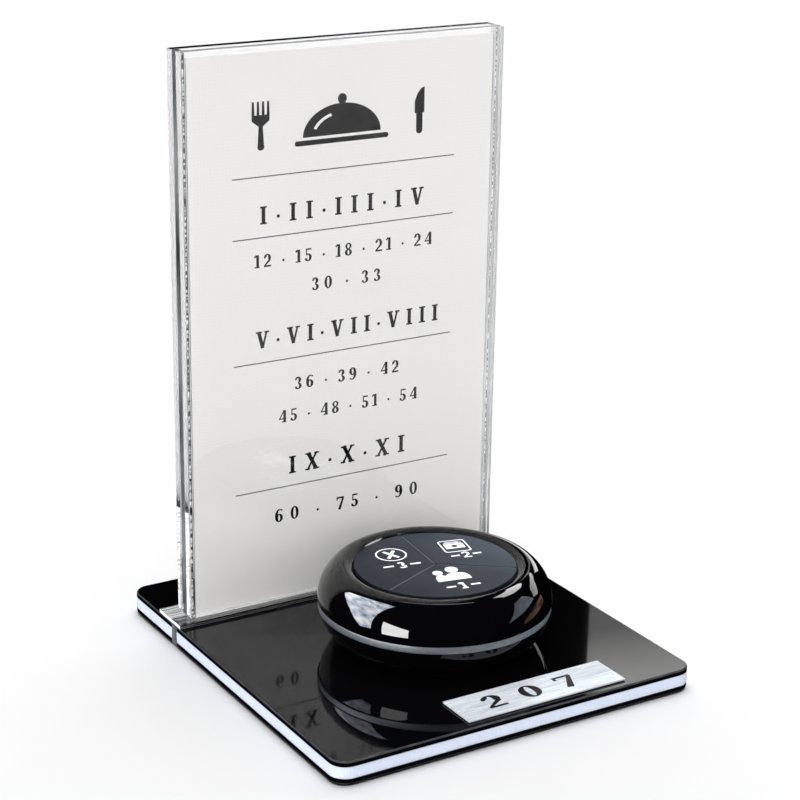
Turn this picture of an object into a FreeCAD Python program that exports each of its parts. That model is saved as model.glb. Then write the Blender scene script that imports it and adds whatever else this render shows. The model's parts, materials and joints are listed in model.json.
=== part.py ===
import FreeCAD, Part
import math
import os
import Sketcher
from FreeCAD import Vector

# Table-top waiter call unit: a slotted acrylic base, a clear menu holder that plugs into
# the slot, a metal number plate and a round call puck with three sprung keys.
# Frame: +X to the right, -Y to the guest in front, +Z up. The origin lies on the table,
# under the middle of the base. All sizes are in millimetres.

doc = FreeCAD.newDocument("waiter_call_unit")
sheet = doc.addObject("Spreadsheet::Sheet", "Dim")

drivingDimensions = [
    # base: three laminated sheets on four pads
    ("base_width", 141, "base, left to right"),
    ("base_depth", 155, "base, front to back"),
    ("base_corner", 6, "radius of the upright corners"),
    ("base_bevel", 0.3, "polished bevel on the outer edges"),
    ("foot_thickness", 0.5, "pads under the base"),
    ("foot_radius", 6, "pads under the base"),
    ("foot_inset", 14, "pad centre to the base's sides"),
    ("bottom_thickness", 2, "black sheet"),
    ("middle_thickness", 4, "white sheet"),
    ("top_thickness", 2, "black sheet"),
    # slot and clear holder
    ("slot_front", 38.8, "slot's front wall, from the base's middle"),
    ("slot_clearance", 0.1, "tongue to the slot's long walls"),
    ("slot_web", 7, "base beyond the slot's closed right end"),
    ("slot_end_clearance", 1, "tongue to the slot's closed right end"),
    ("tongue_recess", 0.2, "tongue's end above the base's underside"),
    ("holder_inset", 6, "clear sheets inside the base's left side"),
    ("sheet_thickness", 4, "clear sheets"),
    ("sheet_height", 202.5, "clear sheets"),
    ("sheet_bevel", 0.35, "polished bevel on the sheets' edges"),
    ("card_gap", 3, "space for the card between the sheets"),
    ("spacer_width", 2.4, "bonding strips beside the card"),
    ("flange_thickness", 1.5, "foot strips on the base"),
    ("ledge_depth", 3, "foot strip in front of the tongue"),
    ("flange_depth", 10, "foot strip behind the tongue"),
    ("flange_corner", 3, "rounded rear corners of the foot strip"),
    ("card_thickness", 0.8, "printed card"),
    ("card_clearance", 0.2, "card to the front sheet"),
    ("card_side_clearance", 0.6, "card to each bonding strip"),
    ("card_top_drop", 2.5, "card's top edge below the sheets' top"),
    # number plate
    ("plate_x", 11.7, "middle of the plate"),
    ("plate_margin", 3.2, "plate's front edge to the base's front side"),
    ("plate_width", 63, "metal plate"),
    ("plate_depth", 16, "metal plate"),
    ("plate_thickness", 0.6, "metal plate"),
    ("plate_bevel", 0.12, "metal plate"),
    ("tape_thickness", 0.25, "adhesive under the plate"),
    ("tape_inset", 1, "adhesive inside the plate's edge"),
    # puck; heights are counted from the base's top
    ("puck_x", 4.6, "puck axis"),
    ("puck_y", -13.6, "puck axis"),
    ("puck_yaw_angle", -6, "degrees that the puck is turned on the base"),
    ("pad_thickness", 0.4, "foam ring under the puck"),
    ("pad_inset", 0.5, "foam ring inside the shell's flat bottom"),
    ("pad_width", 6.5, "foam ring, outside to inside"),
    ("bowl_bottom_radius", 30, "flat bottom of the lower shell"),
    ("bowl_inset", 0.6, "lower shell inside the light ring's outside"),
    ("bowl_rim_height", 13, "lower shell at the light ring"),
    ("bowl_arc_radius", 14, "lower shell's side in section"),
    ("wall", 2, "shell walls"),
    ("ring_radius", 41, "light ring, outside"),
    ("ring_width", 2.8, "light ring, across its section"),
    ("ring_height", 2.7, "light ring"),
    ("ring_bevel", 0.35, "light ring's outer edges"),
    ("dome_overhang", 0.2, "upper shell beyond the light ring"),
    ("dome_side_arc", 15, "upper shell's side in section"),
    ("dome_side_angle", 50, "degrees of that arc"),
    ("dome_crown_arc", 5.5, "upper shell's crown in section"),
    ("dome_crown_angle", 100, "degrees at which the crown ends"),
    ("well_bevel_height", 27.6, "foot of the slope round the keys"),
    ("well_floor_top", 26.4, "floor under the keys"),
    ("well_floor_thickness", 1.2, "floor under the keys"),
    ("boss_circle", 27, "case screw circle"),
    ("boss_radius", 3.2, "case screw bosses"),
    ("boss_split", 13, "height where upper and lower bosses meet"),
    ("case_screw_radius", 1, "shank"),
    ("case_head_radius", 1.9, "head"),
    ("case_head_height", 1.3, "head"),
    ("case_seat_depth", 1.8, "head's seat above the shell's flat bottom"),
    ("case_screw_tip", 20, "height of the screw's tip"),
    ("screw_tip_room", 0.8, "hole beyond a screw's tip"),
    ("pass_clearance", 0.2, "screw in a hole that it passes"),
    ("bite_clearance", 0.05, "screw in a hole that it bites into"),
    ("head_clearance", 0.3, "screw head in its counterbore"),
    ("post_circle", 30, "board screw circle"),
    ("post_radius", 2.5, "board posts"),
    ("board_screw_radius", 0.8, "shank"),
    ("board_head_radius", 1.6, "head"),
    ("board_head_height", 1.1, "head"),
    ("board_screw_tip", 23, "height of the screw's tip"),
    # keys and switches
    ("key_radius", 28.3, "sector keys"),
    ("key_gap", 0.3, "between the keys"),
    ("key_clearance", 0.4, "keys to the wall round them"),
    ("key_rise", 0.5, "keys above the floor when they are up"),
    ("key_thickness", 1.4, "sector keys"),
    ("key_bevel", 0.15, "top edges of the keys"),
    ("stem_offset", 14, "key stem from the puck axis"),
    ("stem_radius", 1.5, "key stem"),
    ("stem_clearance", 0.08, "stem in its bushing"),
    ("bushing_radius", 3, "guide round a stem"),
    ("bushing_gap", 0.6, "guide above the plunger"),
    ("switch_side", 6, "tact switch"),
    ("switch_height", 3.5, "tact switch"),
    ("plunger_radius", 1.7, "tact switch plunger"),
    ("plunger_clearance", 0.08, "plunger in the switch"),
    ("plunger_rise", 0.9, "plunger above the switch; the key's stem rests on it"),
    ("plunger_length", 2.5, "tact switch plunger"),
    ("plunger_room", 0.5, "free space under the plunger"),
    # circuit board and what is on it
    ("board_radius", 35, "circuit board"),
    ("board_bottom", 17, "circuit board"),
    ("board_thickness", 1.6, "circuit board"),
    ("board_hole_clearance", 0.3, "board round the bosses"),
    ("pipe_radius", 0.7, "status light pipe"),
    ("pipe_clearance", 0.05, "pipe in its hole"),
    ("pipe_led_gap", 0.1, "pipe above its lamp"),
    ("led_length", 1.6, "small lamps"),
    ("led_width", 0.8, "lamp under the light pipe"),
    ("led_height", 0.6, "small lamps"),
    ("board_edge_inset", 1.4, "ring lamps and antenna inside the board's edge"),
    ("chip_length", 5, "parts soldered under the board"),
    ("chip_width", 4, "parts soldered under the board"),
    ("chip_height", 1.3, "parts soldered under the board"),
    ("chip_pitch", 10, "parts soldered under the board"),
    ("chip_row_y", 9.5, "parts soldered under the board"),
    ("antenna_wire_radius", 0.4, "antenna wire"),
    ("antenna_height", 20.5, "antenna wire"),
    ("antenna_start_angle", 165, "degrees"),
    ("antenna_sweep_angle", 60, "degrees"),
    # battery bay
    ("cell_radius", 5.15, "12 V cell"),
    ("cell_length", 28.5, "12 V cell"),
    ("cell_nub_radius", 2.2, "positive nub"),
    ("cell_nub_length", 1, "positive nub"),
    ("cell_clearance", 0.15, "cell to the door"),
    ("bay_side_clearance", 0.85, "cell to the bay's long walls"),
    ("bay_top_clearance", 0.35, "cell to the bay's ceiling"),
    ("bay_wall", 1.2, "walls of the battery bay"),
    ("contact_thickness", 0.5, "battery contacts"),
    ("contact_side", 7, "battery contacts"),
    ("spring_length", 6.5, "negative contact's spring"),
    ("door_margin", 2, "door beyond the bay, each side"),
    ("door_thickness", 1.15, "battery door"),
    ("door_clearance", 0.2, "door in its recess"),
    ("door_rise", 0.05, "door's outside above the shell's flat bottom"),
    ("cut_overrun", 1, "how far a cut runs past a face"),
]

for row, (alias, size, note) in enumerate(drivingDimensions, start=1):
    sheet.set(f"A{row}", note)
    sheet.set(f"B{row}", str(size))
    sheet.setAlias(f"B{row}", alias)
doc.recompute()

# Expressions that several pieces share.
baseTop = "(Dim.foot_thickness + Dim.bottom_thickness + Dim.middle_thickness + Dim.top_thickness)"
tongueFront = "(Dim.slot_front + Dim.slot_clearance)"
tongueBack = f"({tongueFront} + Dim.sheet_thickness)"
slotEnd = "(Dim.base_width / 2 - Dim.slot_web)"
holderLeft = "(Dim.holder_inset - Dim.base_width / 2)"
holderRight = f"({slotEnd} - Dim.slot_end_clearance)"
holderWidth = f"({holderRight} - {holderLeft})"
footTop = f"({baseTop} + Dim.flange_thickness)"
bowlFloorTop = "(Dim.pad_thickness + Dim.wall)"
bowlRimRadius = "(Dim.ring_radius - Dim.bowl_inset)"
ringTop = "(Dim.bowl_rim_height + Dim.ring_height)"
caseSeat = "(Dim.pad_thickness + Dim.case_seat_depth)"
floorUnderside = "(Dim.well_floor_top - Dim.well_floor_thickness)"
wellRadius = "(Dim.key_radius + Dim.key_clearance)"
keyUnderside = "(Dim.well_floor_top + Dim.key_rise)"
keyTop = f"({keyUnderside} + Dim.key_thickness)"
boardTop = "(Dim.board_bottom + Dim.board_thickness)"
boardEdgeCircle = "(Dim.board_radius - Dim.board_edge_inset)"
plungerTop = f"({boardTop} + Dim.switch_height + Dim.plunger_rise)"

# The upper shell's section: a side arc, then a tighter crown arc, then a slope to the keys.
domeRadius = "(Dim.ring_radius + Dim.dome_overhang)"
sideHeight = f"({ringTop} + Dim.ring_bevel)"
sideCentre = f"({domeRadius} - Dim.dome_side_arc)"
arcStep = "(Dim.dome_side_arc - Dim.dome_crown_arc)"
crownRadius = f"({sideCentre} + {arcStep} * cos(Dim.dome_side_angle))"
crownHeight = f"({sideHeight} + {arcStep} * sin(Dim.dome_side_angle))"
slopeRadius = f"({crownRadius} + Dim.dome_crown_arc * cos(Dim.dome_crown_angle))"
slopeHeight = f"({crownHeight} + Dim.dome_crown_arc * sin(Dim.dome_crown_angle))"

# The battery bay is built up from the cell that it holds.
doorTop = "(Dim.pad_thickness + Dim.door_rise + Dim.door_thickness)"
cellAxis = f"({doorTop} + Dim.cell_clearance + Dim.cell_radius)"
bayCeiling = f"({cellAxis} + Dim.cell_radius + Dim.bay_top_clearance)"
bayWidth = "(2 * Dim.cell_radius + 2 * Dim.bay_side_clearance)"
bayLength = "(Dim.cell_length + Dim.cell_nub_length + Dim.spring_length + 2 * Dim.contact_thickness)"

# Places on the puck, in degrees anticlockwise from its own X axis.
bossAngles = (45, 135, 225, 315)
postAngles = (0, 120, 240)
ringLampAngles = (15, 75, 135, 195, 255, 315)
keyAngles = {"call": 270, "cancel": 150, "bill": 30}
statusLampAngle = 90

nodes = []


def sizeOf(expression):
    """Number that an expression on the sheet gives."""
    result = sheet.evalExpression(expression)
    return float(getattr(result, "Value", result))


def asNode(piece, label):
    """Gives a finished piece its name and lists it for export."""
    piece.Label = label
    nodes.append(piece)
    return piece


def bind(piece, **expressions):
    """Ties properties of a piece to expressions on the sheet."""
    for name, expression in expressions.items():
        piece.setExpression(name, expression)
    return piece


def moveTo(piece, x="0", y="0", z="0", angle="0"):
    """Places a piece by expressions, turned about its upright axis."""
    piece.setExpression("Placement.Base.x", x)
    piece.setExpression("Placement.Base.y", y)
    piece.setExpression("Placement.Base.z", z)
    piece.setExpression("Placement.Rotation.Angle", angle)
    return piece


def onPuck(piece, x="0", y="0", height="0", angle="0"):
    """Places a piece in the puck's own frame: its axis, its turn and the base's top."""
    moveTo(
        piece,
        f"Dim.puck_x + ({x}) * cos(Dim.puck_yaw_angle) - ({y}) * sin(Dim.puck_yaw_angle)",
        f"Dim.puck_y + ({x}) * sin(Dim.puck_yaw_angle) + ({y}) * cos(Dim.puck_yaw_angle)",
        f"{baseTop} + {height}",
        f"Dim.puck_yaw_angle + {angle}",
    )
    return piece


def around(radius, angle):
    """Point on a circle, as two expressions."""
    return f"{radius} * cos({angle})", f"{radius} * sin({angle})"


# ---- sketches and PartDesign features ----


def newBody(label):
    return asNode(doc.addObject("PartDesign::Body", label), label)


def newSketch(body, role, height="0"):
    """Sketch on one of the body's own origin planes, lifted along its normal."""
    plane = next(item for item in body.Origin.OriginFeatures if item.Role == role)
    sketch = body.newObject("Sketcher::SketchObject", body.Label + "_sketch")
    sketch.AttachmentSupport = [(plane, "")]
    sketch.MapMode = "FlatFace"
    sketch.setExpression("AttachmentOffset.Base.z", height)
    return sketch


def pin(sketch, index, position, x, y):
    """Fixes one point of a curve by two bound distances from the sketch's origin."""
    for kind, axis, expression in (("DistanceX", -2, x), ("DistanceY", -1, y)):
        distance = sizeOf(expression)
        if abs(distance) < 1e-6:
            sketch.addConstraint(Sketcher.Constraint("PointOnObject", index, position, axis))
        else:
            number = sketch.addConstraint(Sketcher.Constraint(kind, index, position, distance))
            sketch.setExpression(f"Constraints[{number}]", expression)


def drawCircle(sketch, x, y, radius):
    centre = Vector(sizeOf(x), sizeOf(y), 0)
    circle = Part.Circle(centre, Vector(0, 0, 1), sizeOf(radius))
    index = sketch.addGeometry(circle, False)
    pin(sketch, index, 3, x, y)
    number = sketch.addConstraint(Sketcher.Constraint("Radius", index, sizeOf(radius)))
    sketch.setExpression(f"Constraints[{number}]", radius)


def arcBetween(start, end, radius, turn):
    """Arc from start to end; turn is 1 for anticlockwise and -1 for clockwise."""
    chord = end - start
    rise = math.sqrt(max(radius ** 2 - (chord.Length / 2) ** 2, 0))
    side = Vector(-chord.y, chord.x, 0).normalize()
    centre = (start + end) / 2 + side * rise * turn
    first, last = (start, end) if turn > 0 else (end, start)
    angles = [math.atan2(point.y - centre.y, point.x - centre.x) for point in (first, last)]
    circle = Part.Circle(centre, Vector(0, 0, 1), radius)
    return Part.ArcOfCircle(circle, angles[0], angles[1])


def drawOutline(sketch, corners):
    """Closed outline. A corner is (x, y), or (x, y, radius, turn) where an arc starts."""
    points = [Vector(sizeOf(corner[0]), sizeOf(corner[1]), 0) for corner in corners]
    ends = []
    for number, corner in enumerate(corners):
        start = points[number]
        end = points[(number + 1) % len(points)]
        if len(corner) == 2:
            index = sketch.addGeometry(Part.LineSegment(start, end), False)
            ends.append((index, 1, 2))
        else:
            radius, turn = corner[2], corner[3]
            index = sketch.addGeometry(arcBetween(start, end, sizeOf(radius), turn), False)
            ends.append((index, 1, 2) if turn > 0 else (index, 2, 1))
            constraint = sketch.addConstraint(Sketcher.Constraint("Radius", index, sizeOf(radius)))
            sketch.setExpression(f"Constraints[{constraint}]", radius)
    for number, corner in enumerate(corners):
        index, first, last = ends[number]
        following = ends[(number + 1) % len(corners)]
        sketch.addConstraint(Sketcher.Constraint("Coincident", index, last, following[0], following[1]))
        pin(sketch, index, first, corner[0], corner[1])


def drawRectangle(sketch, left, right, low, high):
    drawOutline(sketch, [(left, low), (right, low), (right, high), (left, high)])


def addFeature(body, kind, sketch, length, upward=True):
    """Pad or pocket along +Z (or -Z) of the sketch's plane."""
    feature = body.newObject("PartDesign::" + kind, body.Label + "_" + kind.lower())
    feature.Profile = sketch
    feature.setExpression("Length", length)
    feature.Reversed = (kind == "Pocket") == upward
    doc.recompute()
    return feature


def revolve(body, corners):
    """Turns an outline of (radius, height) corners round the body's upright axis."""
    sketch = newSketch(body, "XZ_Plane")
    drawOutline(sketch, corners)
    feature = body.newObject("PartDesign::Revolution", body.Label + "_revolution")
    feature.Profile = sketch
    feature.ReferenceAxis = (sketch, ["V_Axis"])
    feature.Angle = 360
    doc.recompute()
    return feature


def pillars(body, circle, angles, radius, low, high, kind="Pad"):
    """Round bosses (Pad) or holes (Pocket) on a circle, between two heights."""
    sketch = newSketch(body, "XY_Plane", low)
    for angle in angles:
        x, y = around(circle, angle)
        drawCircle(sketch, x, y, radius)
    return addFeature(body, kind, sketch, f"({high}) - ({low})")


def dress(body, kind, base, test, size):
    """Fillet or chamfer on the base feature's edges that pass a test."""
    edges = [f"Edge{number}" for number, edge in enumerate(base.Shape.Edges, start=1) if test(edge)]
    feature = body.newObject("PartDesign::" + kind, body.Label + "_" + kind.lower())
    feature.Base = (base, edges)
    feature.setExpression("Radius" if kind == "Fillet" else "Size", size)
    doc.recompute()
    return feature


def near(first, second):
    return abs(first - second) < 1e-4


def edgeAtHeight(expression):
    """Test for edges that lie flat at one height."""
    level = sizeOf(expression)
    return lambda edge: all(near(vertex.Z, level) for vertex in edge.Vertexes)


# ---- Part primitives ----


def box(name, length, width, height):
    return bind(doc.addObject("Part::Box", name), Length=length, Width=width, Height=height)


def cylinder(name, radius, height):
    return bind(doc.addObject("Part::Cylinder", name), Radius=radius, Height=height)


def fuse(name, pieces):
    group = doc.addObject("Part::MultiFuse", name)
    group.Shapes = pieces
    return group


def cut(name, base, tool):
    result = doc.addObject("Part::Cut", name)
    result.Base = base
    result.Tool = tool
    return result


def compound(name, pieces):
    """Identical pieces kept as separate solids under one name."""
    group = doc.addObject("Part::Compound", name)
    group.Links = pieces
    return group


# ---- the base ----


def acrylicPlate(label, thickness, underside, bevelledHeight=None):
    """Rounded sheet with the holder's slot, open at the left edge."""
    body = newBody(label)
    sketch = newSketch(body, "XY_Plane")
    drawRectangle(
        sketch, "-Dim.base_width / 2", "Dim.base_width / 2", "-Dim.base_depth / 2", "Dim.base_depth / 2"
    )
    feature = addFeature(body, "Pad", sketch, thickness)
    halfWidth = sizeOf("Dim.base_width / 2")
    halfDepth = sizeOf("Dim.base_depth / 2")

    def isUprightCorner(edge):
        middle = edge.CenterOfMass
        return near(abs(middle.x), halfWidth) and near(abs(middle.y), halfDepth)

    feature = dress(body, "Fillet", feature, isUprightCorner, "Dim.base_corner")
    if bevelledHeight is not None:
        dress(body, "Chamfer", feature, edgeAtHeight(bevelledHeight), "Dim.base_bevel")
    slot = newSketch(body, "XY_Plane")
    drawRectangle(
        slot,
        "-Dim.base_width / 2 - Dim.cut_overrun", slotEnd,
        "Dim.slot_front", f"{tongueBack} + Dim.slot_clearance",
    )
    addFeature(body, "Pocket", slot, f"{thickness} + Dim.cut_overrun")
    return moveTo(body, z=underside)


def makeBase():
    acrylicPlate("base_bottom_plate", "Dim.bottom_thickness", "Dim.foot_thickness", "0")
    acrylicPlate("base_middle_plate", "Dim.middle_thickness", "Dim.foot_thickness + Dim.bottom_thickness")
    acrylicPlate(
        "base_top_plate",
        "Dim.top_thickness",
        "Dim.foot_thickness + Dim.bottom_thickness + Dim.middle_thickness",
        "Dim.top_thickness",
    )
    corners = {"front_left": (-1, -1), "front_right": (1, -1), "rear_left": (-1, 1), "rear_right": (1, 1)}
    for place, (side, end) in corners.items():
        foot = asNode(cylinder("foot", "Dim.foot_radius", "Dim.foot_thickness"), "rubber_foot_" + place)
        moveTo(
            foot,
            f"{side} * (Dim.base_width / 2 - Dim.foot_inset)",
            f"{end} * (Dim.base_depth / 2 - Dim.foot_inset)",
        )


def makeNumberPlate():
    tape = asNode(
        box("tape", "Dim.plate_width - 2 * Dim.tape_inset", "Dim.plate_depth - 2 * Dim.tape_inset",
            "Dim.tape_thickness"),
        "plate_tape",
    )
    front = "(Dim.plate_margin - Dim.base_depth / 2)"
    moveTo(
        tape,
        "Dim.plate_x - Dim.plate_width / 2 + Dim.tape_inset", f"{front} + Dim.tape_inset", baseTop,
    )
    plate = newBody("number_plate")
    sketch = newSketch(plate, "XY_Plane")
    drawRectangle(
        sketch, "-Dim.plate_width / 2", "Dim.plate_width / 2", "-Dim.plate_depth / 2", "Dim.plate_depth / 2"
    )
    pad = addFeature(plate, "Pad", sketch, "Dim.plate_thickness")
    dress(plate, "Chamfer", pad, edgeAtHeight("Dim.plate_thickness"), "Dim.plate_bevel")
    moveTo(plate, "Dim.plate_x", f"{front} + Dim.plate_depth / 2", f"{baseTop} + Dim.tape_thickness")


# ---- the clear holder and its card ----


def clearSheet(label, front, bevelAtFront):
    """Upright sheet whose outer face has a polished bevel on its sides and top."""
    body = newBody(label)
    sketch = newSketch(body, "XY_Plane")
    drawRectangle(sketch, "0", holderWidth, "0", "Dim.sheet_thickness")
    pad = addFeature(body, "Pad", sketch, "Dim.sheet_height")
    face = 0 if bevelAtFront else sizeOf("Dim.sheet_thickness")

    def isOuterEdge(edge):
        middle = edge.CenterOfMass
        return near(middle.y, face) and not near(middle.z, 0)

    dress(body, "Chamfer", pad, isOuterEdge, "Dim.sheet_bevel")
    return moveTo(body, holderLeft, front, footTop)


def makeHolder():
    clearSheet("holder_front_sheet", tongueFront, True)
    gapFront = tongueBack
    gapBack = f"({gapFront} + Dim.card_gap)"
    clearSheet("holder_back_sheet", gapBack, False)
    spacerSides = {"left": holderLeft, "right": f"{holderRight} - Dim.spacer_width"}
    for side, left in spacerSides.items():
        strip = box("spacer", "Dim.spacer_width", "Dim.card_gap", "Dim.sheet_height")
        moveTo(asNode(strip, f"holder_{side}_spacer"), left, gapFront, footTop)

    # The foot: a tongue in the slot with a narrow strip before it and a wide one behind it.
    footLeft = "-Dim.base_width / 2"
    footLength = f"({holderRight} + Dim.base_width / 2)"
    tongueEnd = "(Dim.foot_thickness + Dim.tongue_recess)"
    tongue = box("tongue", footLength, "Dim.sheet_thickness", f"{footTop} - {tongueEnd}")
    moveTo(asNode(tongue, "holder_tongue"), footLeft, tongueFront, tongueEnd)
    ledge = box("ledge", footLength, "Dim.ledge_depth", "Dim.flange_thickness")
    moveTo(asNode(ledge, "holder_front_ledge"), footLeft, f"{tongueFront} - Dim.ledge_depth", baseTop)

    flange = newBody("holder_rear_flange")
    sketch = newSketch(flange, "XY_Plane")
    drawRectangle(sketch, "0", footLength, "0", "Dim.flange_depth")
    pad = addFeature(flange, "Pad", sketch, "Dim.flange_thickness")
    length = sizeOf(footLength)
    depth = sizeOf("Dim.flange_depth")

    def isRearCorner(edge):
        middle = edge.CenterOfMass
        return near(middle.y, depth) and (near(middle.x, 0) or near(middle.x, length))

    dress(flange, "Fillet", pad, isRearCorner, "Dim.flange_corner")
    moveTo(flange, footLeft, tongueBack, baseTop)

    margin = "(Dim.spacer_width + Dim.card_side_clearance)"
    card = box(
        "card",
        f"{holderWidth} - 2 * {margin}", "Dim.card_thickness", "Dim.sheet_height - Dim.card_top_drop",
    )
    moveTo(
        asNode(card, "menu_card"),
        f"{holderLeft} + {margin}", f"{gapFront} + Dim.card_clearance", footTop,
    )


# ---- the puck's shells ----


def makeLowerShell():
    """Bowl with four screw bosses and the battery bay, which opens downward."""
    body = newBody("lower_shell")
    arc = "Dim.bowl_arc_radius"
    innerArc = f"({arc} - Dim.wall)"
    run = f"({bowlRimRadius} - Dim.bowl_bottom_radius)"
    climb = "(Dim.bowl_rim_height - Dim.pad_thickness)"
    chord = f"sqrt({run}^2 + {climb}^2)"
    rise = f"sqrt({arc}^2 - ({chord} / 2)^2)"
    centreRadius = f"(({bowlRimRadius} + Dim.bowl_bottom_radius) / 2 - {climb} / {chord} * {rise})"
    centreHeight = f"((Dim.bowl_rim_height + Dim.pad_thickness) / 2 + {run} / {chord} * {rise})"
    innerFoot = f"{centreRadius} + sqrt({innerArc}^2 - ({centreHeight} - {bowlFloorTop})^2)"
    innerRim = f"{centreRadius} + sqrt({innerArc}^2 - ({centreHeight} - Dim.bowl_rim_height)^2)"
    revolve(body, [
        ("0", "Dim.pad_thickness"),
        ("Dim.bowl_bottom_radius", "Dim.pad_thickness", arc, 1),
        (bowlRimRadius, "Dim.bowl_rim_height"),
        (innerRim, "Dim.bowl_rim_height", innerArc, -1),
        (innerFoot, bowlFloorTop),
        ("0", bowlFloorTop),
    ])
    rooted = f"{bowlFloorTop} - Dim.wall / 2"
    pillars(body, "Dim.boss_circle", bossAngles, "Dim.boss_radius", rooted, "Dim.boss_split")

    def rectangleFeature(kind, margin, low, high):
        sketch = newSketch(body, "XY_Plane", low)
        drawRectangle(
            sketch,
            f"-{bayLength} / 2 - {margin}", f"{bayLength} / 2 + {margin}",
            f"-{bayWidth} / 2 - {margin}", f"{bayWidth} / 2 + {margin}",
        )
        addFeature(body, kind, sketch, f"({high}) - ({low})")

    below = "Dim.pad_thickness - Dim.cut_overrun"
    rectangleFeature("Pad", "Dim.bay_wall", rooted, f"{bayCeiling} + Dim.bay_wall")
    rectangleFeature("Pocket", "0", below, bayCeiling)
    rectangleFeature("Pocket", "(Dim.door_margin + Dim.door_clearance)", below, doorTop)
    pillars(
        body, "Dim.boss_circle", bossAngles, "Dim.case_screw_radius + Dim.pass_clearance",
        below, "Dim.boss_split + Dim.cut_overrun", "Pocket",
    )
    pillars(
        body, "Dim.boss_circle", bossAngles, "Dim.case_head_radius + Dim.head_clearance",
        below, caseSeat, "Pocket",
    )
    onPuck(body)


def makeUpperShell():
    """Rounded shell with the key well, its guides, the screw bosses and the board posts."""
    body = newBody("upper_shell")
    side = "Dim.dome_side_arc"
    turn = "Dim.dome_side_angle"
    innerSide = f"({side} - Dim.wall)"
    innerTop = f"{sideCentre} + sqrt({innerSide}^2 - ({floorUnderside} - {sideHeight})^2)"
    revolve(body, [
        (f"{domeRadius} - Dim.wall", ringTop),
        (domeRadius, ringTop),
        (domeRadius, sideHeight, side, 1),
        (
            f"{sideCentre} + {side} * cos({turn})", f"{sideHeight} + {side} * sin({turn})",
            "Dim.dome_crown_arc", 1,
        ),
        (slopeRadius, slopeHeight),
        (wellRadius, "Dim.well_bevel_height"),
        (wellRadius, "Dim.well_floor_top"),
        ("0", "Dim.well_floor_top"),
        ("0", floorUnderside),
        (innerTop, floorUnderside, innerSide, -1),
        (f"{domeRadius} - Dim.wall", sideHeight),
    ])
    rooted = f"{floorUnderside} + Dim.well_floor_thickness / 2"
    stemAngles = tuple(keyAngles.values())
    pillars(body, "Dim.boss_circle", bossAngles, "Dim.boss_radius", "Dim.boss_split", rooted)
    pillars(body, "Dim.post_circle", postAngles, "Dim.post_radius", boardTop, rooted)
    pillars(
        body, "Dim.stem_offset", stemAngles, "Dim.bushing_radius",
        f"{plungerTop} + Dim.bushing_gap", rooted,
    )
    pillars(
        body, "Dim.stem_offset", stemAngles, "Dim.stem_radius + Dim.stem_clearance",
        plungerTop, "Dim.well_floor_top + Dim.cut_overrun", "Pocket",
    )
    pillars(
        body, "Dim.boss_circle", bossAngles, "Dim.case_screw_radius + Dim.bite_clearance",
        "Dim.boss_split - Dim.cut_overrun", "Dim.case_screw_tip + Dim.screw_tip_room", "Pocket",
    )
    pillars(
        body, "Dim.post_circle", postAngles, "Dim.board_screw_radius + Dim.bite_clearance",
        f"{boardTop} - Dim.cut_overrun", "Dim.board_screw_tip + Dim.screw_tip_room", "Pocket",
    )
    pillars(
        body, "Dim.post_circle", (statusLampAngle,), "Dim.pipe_radius + Dim.pipe_clearance",
        f"{floorUnderside} - Dim.cut_overrun", f"{slopeHeight} + Dim.cut_overrun", "Pocket",
    )
    onPuck(body)


def makeLightRing():
    body = newBody("light_ring")
    innerRadius = "Dim.ring_radius - Dim.ring_width"
    revolve(body, [
        (innerRadius, "Dim.bowl_rim_height"),
        ("Dim.ring_radius - Dim.ring_bevel", "Dim.bowl_rim_height"),
        ("Dim.ring_radius", "Dim.bowl_rim_height + Dim.ring_bevel"),
        ("Dim.ring_radius", f"{ringTop} - Dim.ring_bevel"),
        ("Dim.ring_radius - Dim.ring_bevel", ringTop),
        (innerRadius, ringTop),
    ])
    onPuck(body)


def makeMountingPad():
    outside = "Dim.bowl_bottom_radius - Dim.pad_inset"
    ring = cut(
        "pad",
        cylinder("pad_disc", outside, "Dim.pad_thickness"),
        cylinder("pad_hole", f"{outside} - Dim.pad_width", "Dim.pad_thickness"),
    )
    onPuck(asNode(ring, "mounting_pad"))


# ---- keys and switches ----


def makeKey(name, angle):
    """Sector of a disc with a round stem under it, drawn with its middle towards +Y."""
    body = newBody("key_" + name)
    half = 180 / len(keyAngles)
    apex = f"(Dim.key_gap / 2 / sin({half}))"
    reach = f"(sqrt(Dim.key_radius^2 - ({apex} * sin({half}))^2) - {apex} * cos({half}))"
    cornerX = f"{reach} * sin({half})"
    cornerY = f"{apex} + {reach} * cos({half})"
    sketch = newSketch(body, "XY_Plane", keyUnderside)
    drawOutline(sketch, [
        ("0", apex),
        (cornerX, cornerY, "Dim.key_radius", 1),
        (f"-{cornerX}", cornerY),
    ])
    cap = addFeature(body, "Pad", sketch, "Dim.key_thickness")
    dress(body, "Chamfer", cap, edgeAtHeight(keyTop), "Dim.key_bevel")
    stem = newSketch(body, "XY_Plane", plungerTop)
    drawCircle(stem, "0", "Dim.stem_offset", "Dim.stem_radius")
    addFeature(body, "Pad", stem, f"{keyUnderside} + Dim.key_thickness / 2 - {plungerTop}")
    onPuck(body, angle=f"{angle - 90}")


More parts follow.
